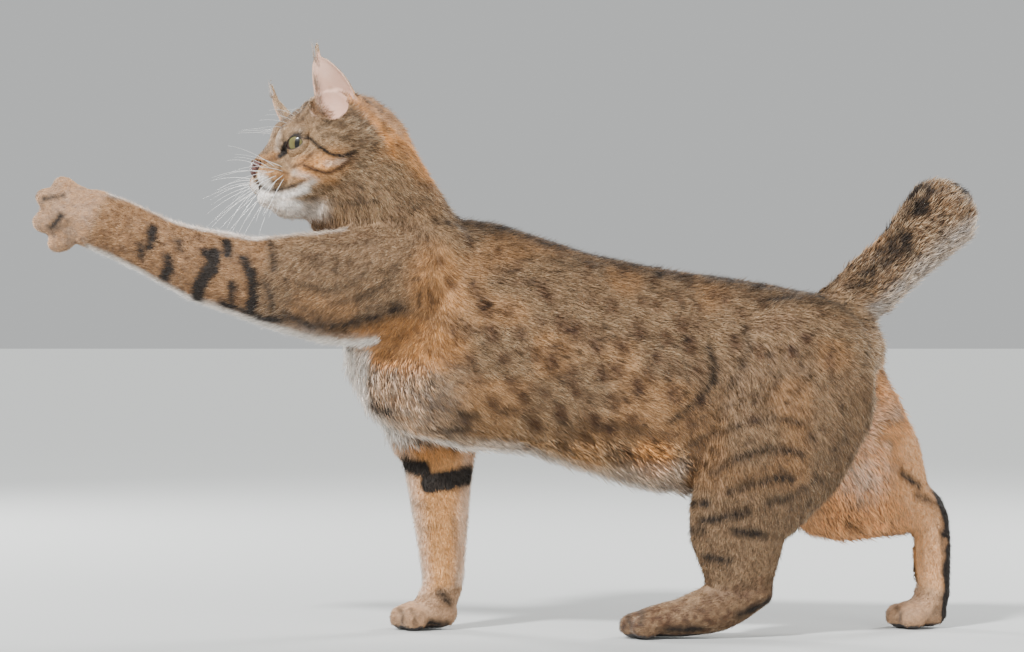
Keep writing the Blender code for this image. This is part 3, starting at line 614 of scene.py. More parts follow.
RUST_SPOTS = [
    (517, 263, 5), (543, 288, 6), (550, 298, 6), (613, 304, 7), (623, 345, 6), (640, 329, 7),
    (644, 298, 5), (658, 304, 5), (683, 323, 7), (679, 296, 5), (564, 323, 8), (577, 330, 7),
    (535, 354, 6), (551, 362, 7), (492, 333, 7), (486, 307, 7), (475, 288, 6), (513, 386, 6),
    (523, 399, 6), (572, 376, 7), (577, 391, 6), (603, 374, 6), (617, 370, 6), (638, 386, 7),
    (613, 403, 6), (594, 423, 7), (535, 427, 7), (560, 415, 7), (585, 440, 6), (609, 433, 6),
    (699, 305, 5), (712, 292, 5), (691, 345, 7), (699, 374, 6), (701, 403, 6), (691, 423, 6),
    (470, 362, 6), (479, 378, 6), (453, 333, 6), (658, 358, 6), (667, 337, 6), (650, 374, 6),
    (675, 395, 7), (634, 423, 6), (465, 423, 6), (454, 446, 5), (560, 250, 5), (590, 262, 5),
    (625, 270, 5), (655, 278, 5), (690, 282, 5), (725, 296, 6), (742, 312, 5), (762, 300, 6),
    (775, 322, 6), (807, 338, 6), (831, 360, 6), (790, 352, 6), (752, 420, 5), (845, 320, 5),
    (820, 308, 5), (735, 342, 6), (758, 352, 6), (500, 250, 5), (470, 240, 5), (440, 262, 5),
    (452, 284, 5), (432, 300, 6), (508, 310, 5), (520, 332, 5), (540, 320, 4), (596, 345, 6),
    (505, 360, 5), (493, 405, 6), (545, 395, 5), (655, 440, 5), (630, 455, 5), (565, 448, 5),
]


# Washes of colour: strength, parts, the bands they fade over, and how far noise speckles them. A band is
# a measure from measures(), where the wash begins, and where it is full; with one number it is a step.
TRUNK = "torso thigh_left thigh_right neck upper_arm_left tail"
BREAST = [("x", -15, -75), ("z", 212, 184)]
INNER_LEG = [("y", 46, 36), ("z", 205, 165)]
DARK_WASHES = [
    # mottling, the back, the upper side of the tail, rows of spots on the crown, the right hock's back
    (0.40, TRUNK, [("rough", 0.60, 0.85), ("fine", 0.4, 0.7)], ()),
    (0.50, "torso neck", [("nz", 0.55, 0.95)], (0.5, 1.0, "rough")),
    (0.60, "tail", [("blotches", 0.45, 0.75), ("tail top", -0.2, 0.3)], ()),
    (0.55, "head", [("hz", 34, 44), ("hx", 20, 34), ("rows", 0.55, 0.9)], (0.6, 0.8, "rough")),
    (1.00, "hock_right hindpaw_right", [("z", 115, 100), ("rear", 0.15, 0.85), ("x", 318, 326)], ()),
]
RUST_WASHES = [
    (0.55, TRUNK, [("streaks", 0.55, 0.75)], (0.4, 0.9)),
    (0.40, "forearm_left forepaw_left hindpaw_left upper_arm_left shank_left thigh_left", [], (0.5, 1.0)),
    (0.58, "forearm_left", [], (0.4, 1.1)),
    (0.72, "hindpaw_left", [], (0.4, 1.1)),
    (0.30, "forepaw_right hindpaw_right", [], ()),
    (0.54, "tail", [], (0.4, 1.1)),
    (0.30, "torso", [("nz", 0.1, 0.7)], (0.5, 1.0)),
]
PALE_WASHES = [
    # throat, chest, breast and belly
    (0.90, "head neck", [("hz", -28, -38), ("hx", 58, 38), ("up and back", -0.1, -0.6)], ()),
    (0.90, "torso neck upper_arm_left", [("past chest", 6, -20), ("v", 320, 352)], ()),
    (0.90, "torso", [("x", -75, -100), ("rearwards", -0.36, -0.95), ("z", 268, 226)], ()),
    (0.20, "torso", BREAST, (0.2, 1.5)),
    (0.80, "torso", [("nz", -0.84, -1.0), ("z", 240, 200)], ()),
    (0.25, "torso", [("belly", 122, 110), ("-x", -150)], ()),
    # the reaching arm, below and above, and the forelegs
    (0.95, "upper_arm_left forearm_left", [("nz", -0.62, -0.90), ("-x", 95)], ()),
    (0.55, "forearm_left", [("nz", 0.80, 0.98)], (0.55, 0.9)),
    (0.30, "upper_arm_left", [("nz", 0.85, 0.98), ("-x", 120)], (0.4, 1.0)),
    (0.08, "forepaw_left", [], (0.6, 0.8)),
    (0.30, "foreleg_right", [("edge", 0.25, 0.85)], ()),
    (0.55, "foreleg_right", [("edge", 0.75, 0.97), ("-z", -120)], ()),
    (0.08, "forepaw_right hindpaw_right", [], ()),
    # the inside of the right hind leg, the rump's fringe and the tail's underside
    (0.10, "thigh_right hock_right", INNER_LEG, ()),
    (0.46, "thigh_right hock_right", INNER_LEG + [("fan", 1.3, 0.1)], (0.5, 0.7)),
    (0.28, "torso", [("x", 225, 255), ("z", 195, 150)], ()),
    (0.30, "tail", [("tail top", -0.15, -0.75)], (0.4, 1.2)),
]
WARM_WASHES = [
    (0.50, "head", [("crown", 88, 100), ("hz", 0, 25)], ()),
    (0.90, "neck", [("up and back", 0.45, 0.95), ("z", 325, 345)], ()),
    (0.82, "foreleg_right", [], ()),
    (0.80, "thigh_right hock_right", [("z", 205, 165), ("ny", 0.5, -0.1)], ()),
    (1.00, "thigh_right hock_right", INNER_LEG, ()),
    (0.85, "torso thigh_right", [("x", 215, 250), ("z", 225, 175), ("right rump", 5, 25)], ()),
    (0.50, "hindpaw_right forepaw_right forepaw_left", [], ()),
    (0.28, "forearm_left", [], ()),
    (0.30, TRUNK, [("clouds", 0.5, 0.8)], ()),
    (0.15, "torso", [("z", 180, 140), ("x", -30)], ()),
    (0.34, "torso", BREAST, ()),
]
# armpit, shoulder and flank: middle, half sizes, strength, and the share of the size where it is full
WARM_PATCHES = [
    ((-78, -50, 214), (56, 44, 27), 0.86, 0.6),
    ((-50, -55, 258), (30, 30, 44), 0.62, 0.4),
    ((108, -50, 130), (22, 40, 24), 0.80, 0.4),
]


def side_place(u, v):
    return Vector(((u - SIDE_U) * SIDE_SCALE, 0, (SIDE_V - v) * SIDE_SCALE))


def cast(tree, u, v, far):
    """Where the line of sight through (u, v) meets the cat, from its left or from its right side."""
    start = Vector(VIEWPOINT)
    if far:
        start.y = -start.y
    ray = (side_place(u, v) - start).normalized()
    return tree.ray_cast(start, ray)[0]


def along_mark(rows, step):
    """Rows of (u, v) with more between them, about a step apart."""
    made = []
    for (a, b), (c, d) in zip(rows, rows[1:]):
        n = max(1, int(math.hypot(c - a, d - b) / step))
        made += [(a + (c - a) * k / n, b + (d - b) * k / n) for k in range(n)]
    return made + [rows[-1]]


class Painter:
    """Soft strokes on the skin, kept as one value for each vertex."""

    def __init__(self, full):
        self.count = len(full["points"])
        self.tree = full["tree"]
        self.near = full["near"]

    def dab(self, values, place, radius, soft, strength):
        for _, index, distance in self.near.find_range(place, radius + soft):
            t = min(1.0, max(0.0, (radius + soft - distance) / (2 * soft)))
            values[index] = max(values[index], strength * t)

    def strokes(self, marks, soft, mirrored=False):
        values = np.zeros(self.count)
        for rows, half, strength in marks:
            for u, v in along_mark(rows, min(3.0, 0.6 * half + 0.4)):
                for far in (False,) if mirrored else (False, True):
                    shift = (7, -4) if far and half > 5 else (0, 0)
                    place = cast(self.tree, u + shift[0], v + shift[1], far)
                    if place is None:
                        continue
                    radius = half * SIDE_SCALE
                    self.dab(values, place, radius, soft * MM, strength)
                    if mirrored:
                        seen = HEAD.inverted() @ place
                        seen.y = -seen.y
                        self.dab(values, HEAD @ seen, radius + 0.4 * MM, soft * MM, strength)
        return values


def measures(points, normals):
    """What the washes fade over: places in millimetres, parts of normals, and noise."""
    x, y, z = points.T / MM
    nx, ny, nz = normals.T
    hx, hy, hz = in_frame(points, HEAD).T
    u, v = x / (SIDE_SCALE / MM) + SIDE_U, SIDE_V - z / (SIDE_SCALE / MM)
    rough = noise(points, 0.006, 3)
    return {
        "x": x, "y": y, "z": z, "-x": -x, "-z": -z, "v": v, "hx": hx, "hz": hz,
        "nz": nz, "ny": ny, "edge": np.abs(nx), "up and back": nz + 0.5 * nx, "tail top": nz - 0.55 * nx,
        "rearwards": nx + 0.3 * (rough - 0.5), "rear": nx + 0.5 * (rough - 0.5),
        "belly": z - 0.10 * np.abs(x), "crown": hx + 0.3 * hz, "right rump": y + 0.2 * (x - 215),
        "past chest": u - 342 - 0.62 * (v - 354) - 0.6 * np.maximum(0, v - 403),
        "fan": np.hypot((u - 866) / 44, (v - 476) / 46),
        "rows": 0.5 + 0.5 * np.cos(hy / 13 * 2 * math.pi),
        "rough": rough, "fine": noise(points, 0.0028, 9), "blotches": noise(points, 0.011, 8),
        "streaks": noise(points * (0.55, 1.0, 1.25), 0.011, 14), "clouds": noise(points, 0.03, 11),
    }


def markings(full):
    """How dark, rusty, pale and orange each place of the fine form is; the dark also holds painted shade in
    creases, between the toes and under the reaching arm.
    """
    points, normals, owner, pairs = (full[k] for k in ("points", "normals", "owner", "pairs"))
    painter = Painter(full)
    dark = np.maximum(1.08 * painter.strokes(DARK_MARKS, soft=2.7), painter.strokes(DARK_CLOUDS_AND_ARM_SHADE, soft=7.0))
    dark = np.maximum(dark, painter.strokes(SOFT_MARKS_AND_TOE_SHADE, soft=3.4))
    face, face_rust, face_pale, bridge = (
        painter.strokes(rows, soft, mirrored=True)
        for rows, soft in ((FACE_MARKS, 1.4), (FACE_RUST, 1.3), (FACE_PALE, 2.6), (NOSE_BRIDGE, 3.0)))
    spots = [([(u, v - r * 0.4), (u + 2, v + r * 0.5)], r * 1.15, 0.86) for u, v, r in RUST_SPOTS]
    rust = painter.strokes(spots, soft=3.6)
    at = measures(points, normals)
    fine, rough, hx, hz = (at[key] for key in ("fine", "rough", "hx", "hz"))
    shares = {}

    def part(wanted):
        """1 on the parts named, fading over their borders."""
        if wanted not in shares:
            shares[wanted] = spread(on_part(owner, *wanted.split()).astype(float), pairs, 14)
        return shares[wanted]

    def wash(values, rows):
        for strength, wanted, bands, speckle in rows:
            share = strength * part(wanted)
            for key, *ends in bands:
                share = share * (smoothstep(*ends, at[key]) if len(ends) == 2 else at[key] > ends[0])
            if speckle:
                least, more, *kind = speckle
                share = share * (least + more * at[kind[0] if kind else "fine"])
            values = np.maximum(values, share)
        return values

    # ragged edges
    dark = np.clip(dark * (0.52 + 0.45 * rough + 0.55 * fine), 0, 1)
    rust = np.clip(rust * (0.42 + 0.5 * rough + 0.6 * fine), 0, 1)
    face = np.clip(face * (0.66 + 0.55 * fine), 0, 1)
    dark = wash(dark, DARK_WASHES)
    inner = wash(0, [(1, "thigh_right hock_right", INNER_LEG, ())])
    rust = wash(rust, RUST_WASHES) * (1 - 0.9 * inner)
    pale = np.clip(wash(1.15 * face_pale, PALE_WASHES) * (0.80 + 0.30 * rough + 0.1 * fine), 0, 1)

    # orange: bridge of the nose and nape, cheeks, and the patches on the body
    head = part("head")
    behind = smoothstep(44, 74, hx) * smoothstep(28, 8, hz)
    cheek = head * smoothstep(24, 34, hx) * smoothstep(6, -4, hz) * smoothstep(-24, -12, hz) * (1 - behind)
    warm = wash(np.maximum(0.95 * bridge, 0.8 * cheek), WARM_WASHES)
    for middle, half, strength, full_at in WARM_PATCHES:
        far = np.linalg.norm((points / MM - middle) / half, axis=1)
        warm = np.maximum(warm, strength * smoothstep(1.1, full_at, far))

    # painted shade: creases, as between the toes, are darker
    crease_shade = ((spread(points, pairs, 8) - points) * normals).sum(1) / MM
    crease_shade_where = part("forepaw_left forepaw_right hindpaw_left hindpaw_right") + 0.35 * head
    crease_shade = crease_shade_where * smoothstep(0.12, 0.50, crease_shade) * (1 - 0.6 * (face_pale > 0.5)) * (hz < 30)
    dark = np.maximum(np.maximum(dark * (1 - 0.45 * pale), 0.8 * crease_shade), face)

    # rust on the head is kept to the brow, the top of the muzzle, the jowls and the lines of the face
    brow = head * smoothstep(14, 28, hz) * smoothstep(8, 24, hx) * (1 - pale)
    muzzle_top = head * smoothstep(30, 14, hx) * smoothstep(-4, 6, hz) * (1 - pale)
    for share, strength in ((brow, 0.38), (muzzle_top, 0.42)):
        rust = np.maximum(rust, strength * share * (0.4 + 1.2 * fine))
    jowl = np.maximum(head * behind, part("neck") * smoothstep(345, 320, at["z"]))
    ticked = 0.50 * jowl * smoothstep(0.25, 0.75, 0.6 * fine + 0.4 * rough) * (1 - pale)
    rust = np.maximum(np.maximum(rust * (1 - head * (1 - np.maximum(brow, muzzle_top))), ticked), face_rust)
    return np.stack([dark, rust, pale * (1 - face_rust), np.clip(warm, 0, 1)], axis=1)


def inside_ears(points, normals, ear_part):
    """1 in the hollow and the bowl of each ear, which are bare and pink."""
    found = np.zeros(len(points))
    turn = np.array(HEAD.to_3x3())
    for word in ("right", "left"):
        sign, base, tip, axis, way, across = ear_axes(word)
        seen = in_frame(points, HEAD) - base
        facing = (normals @ turn) @ way
        height = seen @ axis / np.linalg.norm(tip - base)
        near = np.linalg.norm(seen - np.outer(seen @ axis, axis), axis=1) < 22
        cup = ear_part * near * smoothstep(0.0, 0.25, facing) * (height > -0.3) * (height < 1.02)
        off = seen - axis * EAR_BOWL_UP[word] - way * EAR_BOWL_OUT[word]
        local = np.stack([off @ np.cross(axis, way), off @ axis, off @ way], axis=1)
        deep = np.linalg.norm(local / (np.array(EAR_BOWL) + 4.5), axis=1) < 1.0
        inwards = -(off * (normals @ turn)).sum(1) > 0.35 * np.linalg.norm(off, axis=1)
        found = np.maximum(found, np.maximum(cup, (deep & inwards).astype(float)))
    return found


# The coat.


def tuft_roots(rng, points, tris, weight, count):
    """Seeds tufts over the triangles by area and weight: the triangle of each, and its place in it."""
    a, b, c = (points[tris[:, k]] for k in range(3))
    area = np.linalg.norm(np.cross(b - a, c - a), axis=1) / 2
    share = np.cumsum(area * weight[tris].mean(1))
    picks = (np.arange(count) + rng.random(count)) / count * share[-1]
    chosen = np.minimum(np.searchsorted(share, picks), len(tris) - 1)
    s, t = rng.random((2, count))
    flip = s + t > 1
    s[flip], t[flip] = 1 - s[flip], 1 - t[flip]
    return chosen, np.stack([1 - s - t, s, t], axis=1)


def blend_at(values, tris, chosen, mix):
    corners = values[tris[chosen]]
    if values.ndim == 1:
        return (corners * mix).sum(1)
    return (corners * mix[:, :, None]).sum(1)


def unwrap(points, centre_line):
    """Angle round a part's centre line and distance along it, each from 0 to 1."""
    start, end = (np.array(p) * MM for p in centre_line)
    axis = unit(end - start)
    side = unit(np.cross(axis, (0.03, 1, 0.02)))
    off = points - start
    angle = np.arctan2(off @ side, off @ np.cross(axis, side)) / (2 * math.pi) + 0.5
    reach = off @ axis
    reach = (reach - reach.min()) / max(1e-6, np.ptp(reach))
    return np.stack([angle, reach], axis=1)


def tuft_mesh(name, roots, bent, material, centre_line):
    """One joined mesh of tufts, three-sided and pointed, bent once if bent is true."""
    n = len(roots["place"])
    lie, normal = roots["lie"], roots["normal"]
    side = unit(np.cross(normal, lie))
    length = roots["length"][:, None] * MM
    width = roots["width"][:, None] * MM
    rise = roots["rise"][:, None]
    base = roots["place"] - normal * np.minimum(0.9 * MM, 0.18 * length)
    if bent:
        first = np.arctan(rise * 1.9)
        second = np.arctan(rise * 0.55)
        middle = base + length * 0.5 * (lie * np.cos(first) + normal * np.sin(first))
        tip = middle + length * 0.5 * (lie * np.cos(second) + normal * np.sin(second))
        tip = tip + side * roots["curl"][:, None] * length
        rings = [(base, 0.75, 0.0), (middle, 1.0, 0.5)]
    else:
        slope = np.arctan(rise * 1.15)
        tip = base + length * (lie * np.cos(slope) + normal * np.sin(slope))
        rings = [(base, 1.0, 0.0)]
    layers, along = [], []
    for centre, scale, t in rings:
        for aside, up in ((-0.5, 0.0), (0.5, 0.0), (0.0, 0.55)):
            layers.append(centre + side * (aside * scale * width) + normal * (up * scale * width))
            along.append(t)
    layers.append(tip)
    along.append(1.0)
    count = len(layers)
    faces = [(0, 2, 1), (0, 1, 3), (1, 2, 3), (2, 0, 3)]
    if bent:
        faces = faces[:1]
        for k in range(3):
            m = (k + 1) % 3
            faces += [(k, m, 3 + m), (k, 3 + m, 3 + k), (3 + k, 3 + m, 6)]
    every = np.arange(n, dtype=np.int32)[:, None, None] * count + np.array(faces, np.int32)
    every = every.reshape(-1, 3)
    obj = mesh_object(name, np.stack(layers, axis=1).reshape(-1, 3), every)
    keep_attribute(obj, "marks", np.repeat(roots["marks"][:, :3], count, axis=0))
    keep_attribute(obj, "tone", np.stack([np.repeat(roots["marks"][:, 3], count), np.tile(along, n),
                                          np.repeat(roots["shade"], count)], axis=1))
    home = unwrap(roots["place"], centre_line) * (1 - 2 * PATCH) + PATCH / 2
    patch = np.array([(0.0, 0), (1, 0), (0.5, 0), (0, 0.5), (1, 0.5), (0.5, 0.5), (0.5, 1)])
    if not bent:
        patch = patch[[0, 1, 2, 6]]
    uv = (home[:, None, :] + patch[None] * PATCH).reshape(-1, 2)
    layer = obj.data.uv_layers.new(name="OFBake")
    layer.uv.foreach_set("vector", uv[every.ravel()].astype(np.float32).ravel())
    obj.data.materials.append(material)
    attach(obj, "root")


# Materials.


def new_material(name, **values):
    """A material with plain values set on its shader, the shader, and the material's nodes."""
    made = bpy.data.materials.new(name)
    made.use_nodes = True
    shader = made.node_tree.nodes["Principled BSDF"]
    for key, value in values.items():
        shader.inputs[key.replace("_", " ")].default_value = value
    return made, shader, Nodes(made.node_tree)


class Nodes:
    """Short names for the nodes that a material or a group is made of."""

    def __init__(self, tree):
        self.tree = tree

    def add(self, kind, **settings):
        node = self.tree.nodes.new(kind)
        for key, value in settings.items():
            setattr(node, key, value)
        return node

    def feed(self, socket, value):
        if isinstance(value, bpy.types.NodeSocket):
            self.tree.links.new(value, socket)
        elif isinstance(value, tuple) and len(value) == 3 and socket.type == "RGBA":
            socket.default_value = (*value, 1)
        else:
            socket.default_value = value

    def math(self, operation, a, b=0.0, clamp=False):
        node = self.add("ShaderNodeMath", operation=operation, use_clamp=clamp)
        self.feed(node.inputs[0], a)
        self.feed(node.inputs[1], b)
        return node.outputs[0]

    def times(self, a, b):
        return self.math("MULTIPLY", a, b)

    def plus(self, a, b):
        return self.math("ADD", a, b)

    def mix(self, factor, a, b, blend="MIX"):
        node = self.add("ShaderNodeMix", data_type="RGBA", blend_type=blend)
        self.feed(node.inputs["Factor"], factor)
        self.feed(node.inputs[6], a)
        self.feed(node.inputs[7], b)
        return node.outputs[2]

    def attribute(self, name):
        return self.add("ShaderNodeAttribute", attribute_name=name).outputs["Vector"]

    def split(self, vector):
        node = self.add("ShaderNodeSeparateXYZ")
        self.feed(node.inputs[0], vector)
        return node.outputs

    def ramp(self, value, low, high):
        node = self.add("ShaderNodeMapRange", interpolation_type="SMOOTHSTEP")
        self.feed(node.inputs["Value"], value)
        node.inputs["From Min"].default_value = low
        node.inputs["From Max"].default_value = high
        return node.outputs[0]

    def noise(self, vector, scale, detail):
        node = self.add("ShaderNodeTexNoise")
        self.feed(node.inputs["Vector"], vector)
        node.inputs["Scale"].default_value = scale
        node.inputs["Detail"].default_value = detail
        return node.outputs["Fac"]

    def bump(self, height, strength, distance):
        node = self.add("ShaderNodeBump")
        node.inputs["Strength"].default_value = strength
        node.inputs["Distance"].default_value = distance
        self.feed(node.inputs["Height"], height)
        return node.outputs[0]

    def coat_colour(self, group):
        node = self.add("ShaderNodeGroup", node_tree=group)
        self.feed(node.inputs["Marks"], self.attribute("marks"))
        self.feed(node.inputs["Tone"], self.attribute("tone"))
        return node.outputs["Color"]


# Colours of the coat, linear.
ROOT_GREY = (0.046, 0.029, 0.017)
BAND_TAN = (0.345, 0.212, 0.108)
TIP_BROWN = (0.013, 0.0075, 0.0035)
TIP_LIGHT = (0.880, 0.670, 0.440)
ORANGE_ROOT = (0.50, 0.27, 0.115)
ORANGE = (0.860, 0.375, 0.098)
ORANGE_TICK = (0.24, 0.12, 0.06)
RUST = (0.080, 0.034, 0.013)
BLACK_BROWN = (0.013, 0.0068, 0.0032)
CREAM = (0.970, 0.905, 0.835)

# Other colours: ears, pads, iris, nose, painted shade in the nose's hollows, and the hairs of lip and ear.
EAR_PINK = ((0.59, 0.335, 0.235), (0.67, 0.44, 0.34))
FINE_SHADE = (0.45, 0.42, 0.40)
PAD_DARK = (0.020, 0.013, 0.011)
IRIS = ((0.095, 0.070, 0.021), (0.125, 0.115, 0.038))
IRIS_FIBRE = (0.205, 0.190, 0.074)
IRIS_RING = (0.035, 0.025, 0.012)
PUPIL = (0.003, 0.003, 0.003)
EYE_EDGE = (0.05, 0.025, 0.02)
NOSE_LEATHER = ((0.115, 0.042, 0.034), (0.055, 0.020, 0.016))
HOLLOW_SHADE = (0.004, 0.003, 0.003)
WHISKER = ((0.86, 0.84, 0.80), (0.95, 0.94, 0.92))
EAR_HAIR = ((0.30, 0.20, 0.13), (0.62, 0.50, 0.40))


def coat_colours():
    """A group that turns markings and the place along a hair into its colour."""
    group = bpy.data.node_groups.new("coat_colours", "ShaderNodeTree")
    face = group.interface
    for name, kind in (("Marks", "NodeSocketVector"), ("Tone", "NodeSocketVector")):
        face.new_socket(name=name, in_out="INPUT", socket_type=kind)
    face.new_socket(name="Color", in_out="OUTPUT", socket_type="NodeSocketColor")
    n = Nodes(group)
    entry, leave = n.add("NodeGroupInput"), n.add("NodeGroupOutput")
    dark, rust, pale = n.split(entry.outputs["Marks"])
    warm, along, shade = n.split(entry.outputs["Tone"])
    ticked = n.ramp(shade, 0.42, 0.58)
    tip = n.mix(ticked, TIP_BROWN, TIP_LIGHT)
    hair = n.mix(n.ramp(along, 0.05, 0.45), ROOT_GREY, BAND_TAN)
    hair = n.mix(n.ramp(along, 0.5, 0.95), hair, tip)
    # orange hair has a pale root and hardly any ticking
    orange = n.mix(n.ramp(along, 0.1, 0.7), ORANGE_ROOT, ORANGE)
    orange = n.mix(n.times(n.ramp(along, 0.6, 1.0), n.ramp(shade, 0.5, 0.2)), orange, ORANGE_TICK)
    hair = n.mix(n.times(warm, 0.97), hair, orange)
    hair = n.mix(rust, hair, RUST)
    hair = n.mix(pale, hair, CREAM)
    black = n.math("MULTIPLY", dark, n.plus(0.62, n.ramp(along, 0.0, 0.5)), clamp=True)
    hair = n.mix(black, hair, BLACK_BROWN)
    bright = n.add("ShaderNodeVectorMath", operation="SCALE")
    n.feed(bright.inputs[0], hair)
    n.feed(bright.inputs["Scale"], n.plus(0.62, n.times(shade, 0.76)))
    n.feed(leave.inputs["Color"], bright.outputs[0])
    return group


def coat_material(group):
    made, shader, n = new_material("ticked_coat", Roughness=0.62, Specular_IOR_Level=0.18,
                                   Sheen_Weight=0.08, Sheen_Roughness=0.5)
    n.feed(shader.inputs["Base Color"], n.coat_colour(group))
    return made


def skin_material(group):
    """Skin under the coat, with the same markings, bare pink ears, and short hair as bump."""
    made, shader, n = new_material("skin_with_short_hair")
    coat_colour = n.coat_colour(group)
    where = n.add("ShaderNodeTexCoord").outputs["Object"]
    fine = n.noise(where, 1400, 3)
    bare, leather, _ = n.split(n.attribute("bare"))
    colour = n.mix(n.times(n.ramp(fine, 0.35, 0.65), 0.5), coat_colour,
                   n.mix(1.0, coat_colour, FINE_SHADE, "MULTIPLY"))
    colour = n.mix(bare, colour, n.mix(n.noise(where, 110, 3), *EAR_PINK))
    n.feed(shader.inputs["Base Color"], n.mix(leather, colour, PAD_DARK))
    n.feed(shader.inputs["Roughness"], n.math("SUBTRACT", 0.75, n.times(leather, 0.33)))
    n.feed(shader.inputs["Normal"], n.bump(fine, 0.5, 0.0006))
    return made


def eye_material():
    """A yellow-green iris with a slit pupil, fine fibres and a dark outer ring."""
    made, shader, n = new_material("eye", Roughness=0.4, Specular_IOR_Level=0.2, Coat_Weight=0.45,
                                   Coat_Roughness=0.03, Coat_IOR=1.45)
    across, up, _ = n.split(n.attribute("look"))
    far = n.math("SQRT", n.plus(n.times(across, across), n.times(up, up)))
    fibre = n.add("ShaderNodeCombineXYZ")
    n.feed(fibre.inputs[0], n.times(n.math("ARCTAN2", up, across), 5.0))
    n.feed(fibre.inputs[1], n.times(far, 0.35))
    threads = n.noise(fibre.outputs[0], 5.0, 4)
    iris = n.mix(n.ramp(far, 2.0, 6.5), *IRIS)
    iris = n.mix(n.times(n.ramp(threads, 0.4, 0.7), 0.5), iris, IRIS_FIBRE)
    iris = n.mix(n.ramp(far, IRIS_RADIUS - 1.3, IRIS_RADIUS), iris, IRIS_RING)
    slit = n.plus(*(n.math("POWER", n.math("DIVIDE", n.math("ABSOLUTE", way), half), 2.0)
                    for way, half in ((across, PUPIL_HALF_WIDTH), (up, PUPIL_HALF_HEIGHT))))
    colour = n.mix(n.ramp(slit, 0.85, 1.2), PUPIL, iris)
    colour = n.mix(n.ramp(far, IRIS_RADIUS, IRIS_RADIUS + 0.8), colour, EYE_EDGE)
    n.feed(shader.inputs["Base Color"], colour)
    return made


def leather_material(name, light, deep, grain, roughness):
    """Bare skin such as the nose, pebbled and a little moist, with painted shade in its hollows."""
    made, shader, n = new_material(name, Roughness=roughness)
    where = n.add("ShaderNodeTexCoord").outputs["Object"]
    cells = n.add("ShaderNodeTexVoronoi", feature="DISTANCE_TO_EDGE")
    n.feed(cells.inputs["Vector"], where)
    cells.inputs["Scale"].default_value = grain
    colour = n.mix(n.ramp(n.noise(where, grain / 6, 3), 0.3, 0.7), light, deep)
    # painted shade: the leather is darkened where its deep attribute marks a hollow, as in the nostrils
    hollow_shade = n.add("ShaderNodeAttribute", attribute_name="deep").outputs["Fac"]
    n.feed(shader.inputs["Base Color"], n.mix(hollow_shade, colour, HOLLOW_SHADE))
    n.feed(shader.inputs["Normal"], n.bump(n.ramp(cells.outputs["Distance"], 0.0, 0.25), 0.4, 0.0002))
    return made


def hair_material(name, deep, light, roughness):
    made, shader, n = new_material(name, Roughness=roughness)
    where = n.add("ShaderNodeTexCoord").outputs["Object"]
    n.feed(shader.inputs["Base Color"], n.mix(n.noise(where, 160, 1), deep, light))
    return made


# The smaller pieces: eyes, lids, nose, whiskers and the hair of the ears.


def thread(points, radii, sides):
    """Places and faces of a tube along points, closed at both ends."""
    points = np.asarray(points, float)
    ahead = np.roll(points, -1, 0) - np.roll(points, 1, 0)
    ahead[0], ahead[-1] = points[1] - points[0], points[-1] - points[-2]
    first = unit(np.cross(unit(ahead), (0.31, 0.42, 0.85)))
    second = np.cross(unit(ahead), first)
    angles = np.arange(sides)[None, :, None] * 2 * math.pi / sides
    round_them = np.cos(angles) * first[:, None] + np.sin(angles) * second[:, None]
    rings = points[:, None] + np.asarray(radii)[:, None, None] * round_them
    last = (len(points) - 1) * sides
    faces = [(i + k, i + (k + 1) % sides, i + sides + (k + 1) % sides, i + sides + k)
             for i in range(0, last, sides) for k in range(sides)]
    faces += [tuple(reversed(range(sides))), tuple(range(last, last + sides))]
    return rings.reshape(-1, 3).tolist(), faces


def join_threads(name, threads, material):
    verts, faces = [], []
    for more, around in threads:
        base = len(verts)
        verts += more
        faces += [tuple(base + i for i in face) for face in around]
    obj = mesh_object(name, verts, faces)
    face_outwards(obj)
    obj.data.materials.append(material)
    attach(obj, "root")


def closed_curve(corners, steps=5):
    """A smooth closed line through the corners, as places in the plane."""
    p = np.asarray(corners, float)
    before, after, beyond = np.roll(p, 1, 0), np.roll(p, -1, 0), np.roll(p, -2, 0)
    made = []
    for k in range(len(p)):
        for t in np.arange(steps) / steps:
            made.append(0.5 * (2 * p[k] + (after[k] - before[k]) * t
                               + (2 * before[k] - 5 * p[k] + 4 * after[k] - beyond[k]) * t**2
                               + (3 * p[k] - before[k] - 3 * after[k] + beyond[k]) * t**3))
    return np.array(made)


def make_eye(sign, word, material):
    """The eyeball, with the gaze turned a little outwards."""
    bpy.ops.mesh.primitive_uv_sphere_add(segments=64, ring_count=40, radius=EYE_RADIUS * MM)
    eye = bpy.context.object
    eye.name = eye.data.name = f"eyeball_{word}"
    turn = math.radians(GAZE_OUT) * sign
    # the sphere's poles are turned to the front and the back, so that the iris is evenly divided
    local = places(eye) / MM @ np.array(Matrix.Rotation(math.radians(90), 3, "Y")).T
    look = local @ np.array(Matrix.Rotation(turn, 3, "Z")).T
    look = look @ np.array(Matrix.Rotation(math.radians(GAZE_DOWN), 3, "Y")).T
    eye.data.vertices.foreach_set("co", (local * MM).astype(np.float32).ravel())
    keep_attribute(eye, "look", look[:, [1, 2, 0]])
    eye.data.transform(eye_frame(sign))
    eye.data.shade_smooth()
    eye.data.materials.append(material)
    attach(eye, "root")
    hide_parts(f"eye_{word}")


def evened(ring, times):
    """Evens out the rows of a closed ring."""
    for _ in range(times):
        ring = (ring + np.roll(ring, 1, 0) + np.roll(ring, -1, 0)) / 3
    return ring


def around_eye(sign, flat):
    """Directions in the world from the middle of the eye to millimetres across it and up."""
    reach = np.linalg.norm(flat, axis=1)
    turn = reach / EYE_RADIUS
    local = np.stack([-np.cos(turn), np.sin(turn) * flat[:, 0] / reach,
                      np.sin(turn) * flat[:, 1] / reach], axis=1)
    return local @ np.array(eye_frame(sign))[:3, :3].T


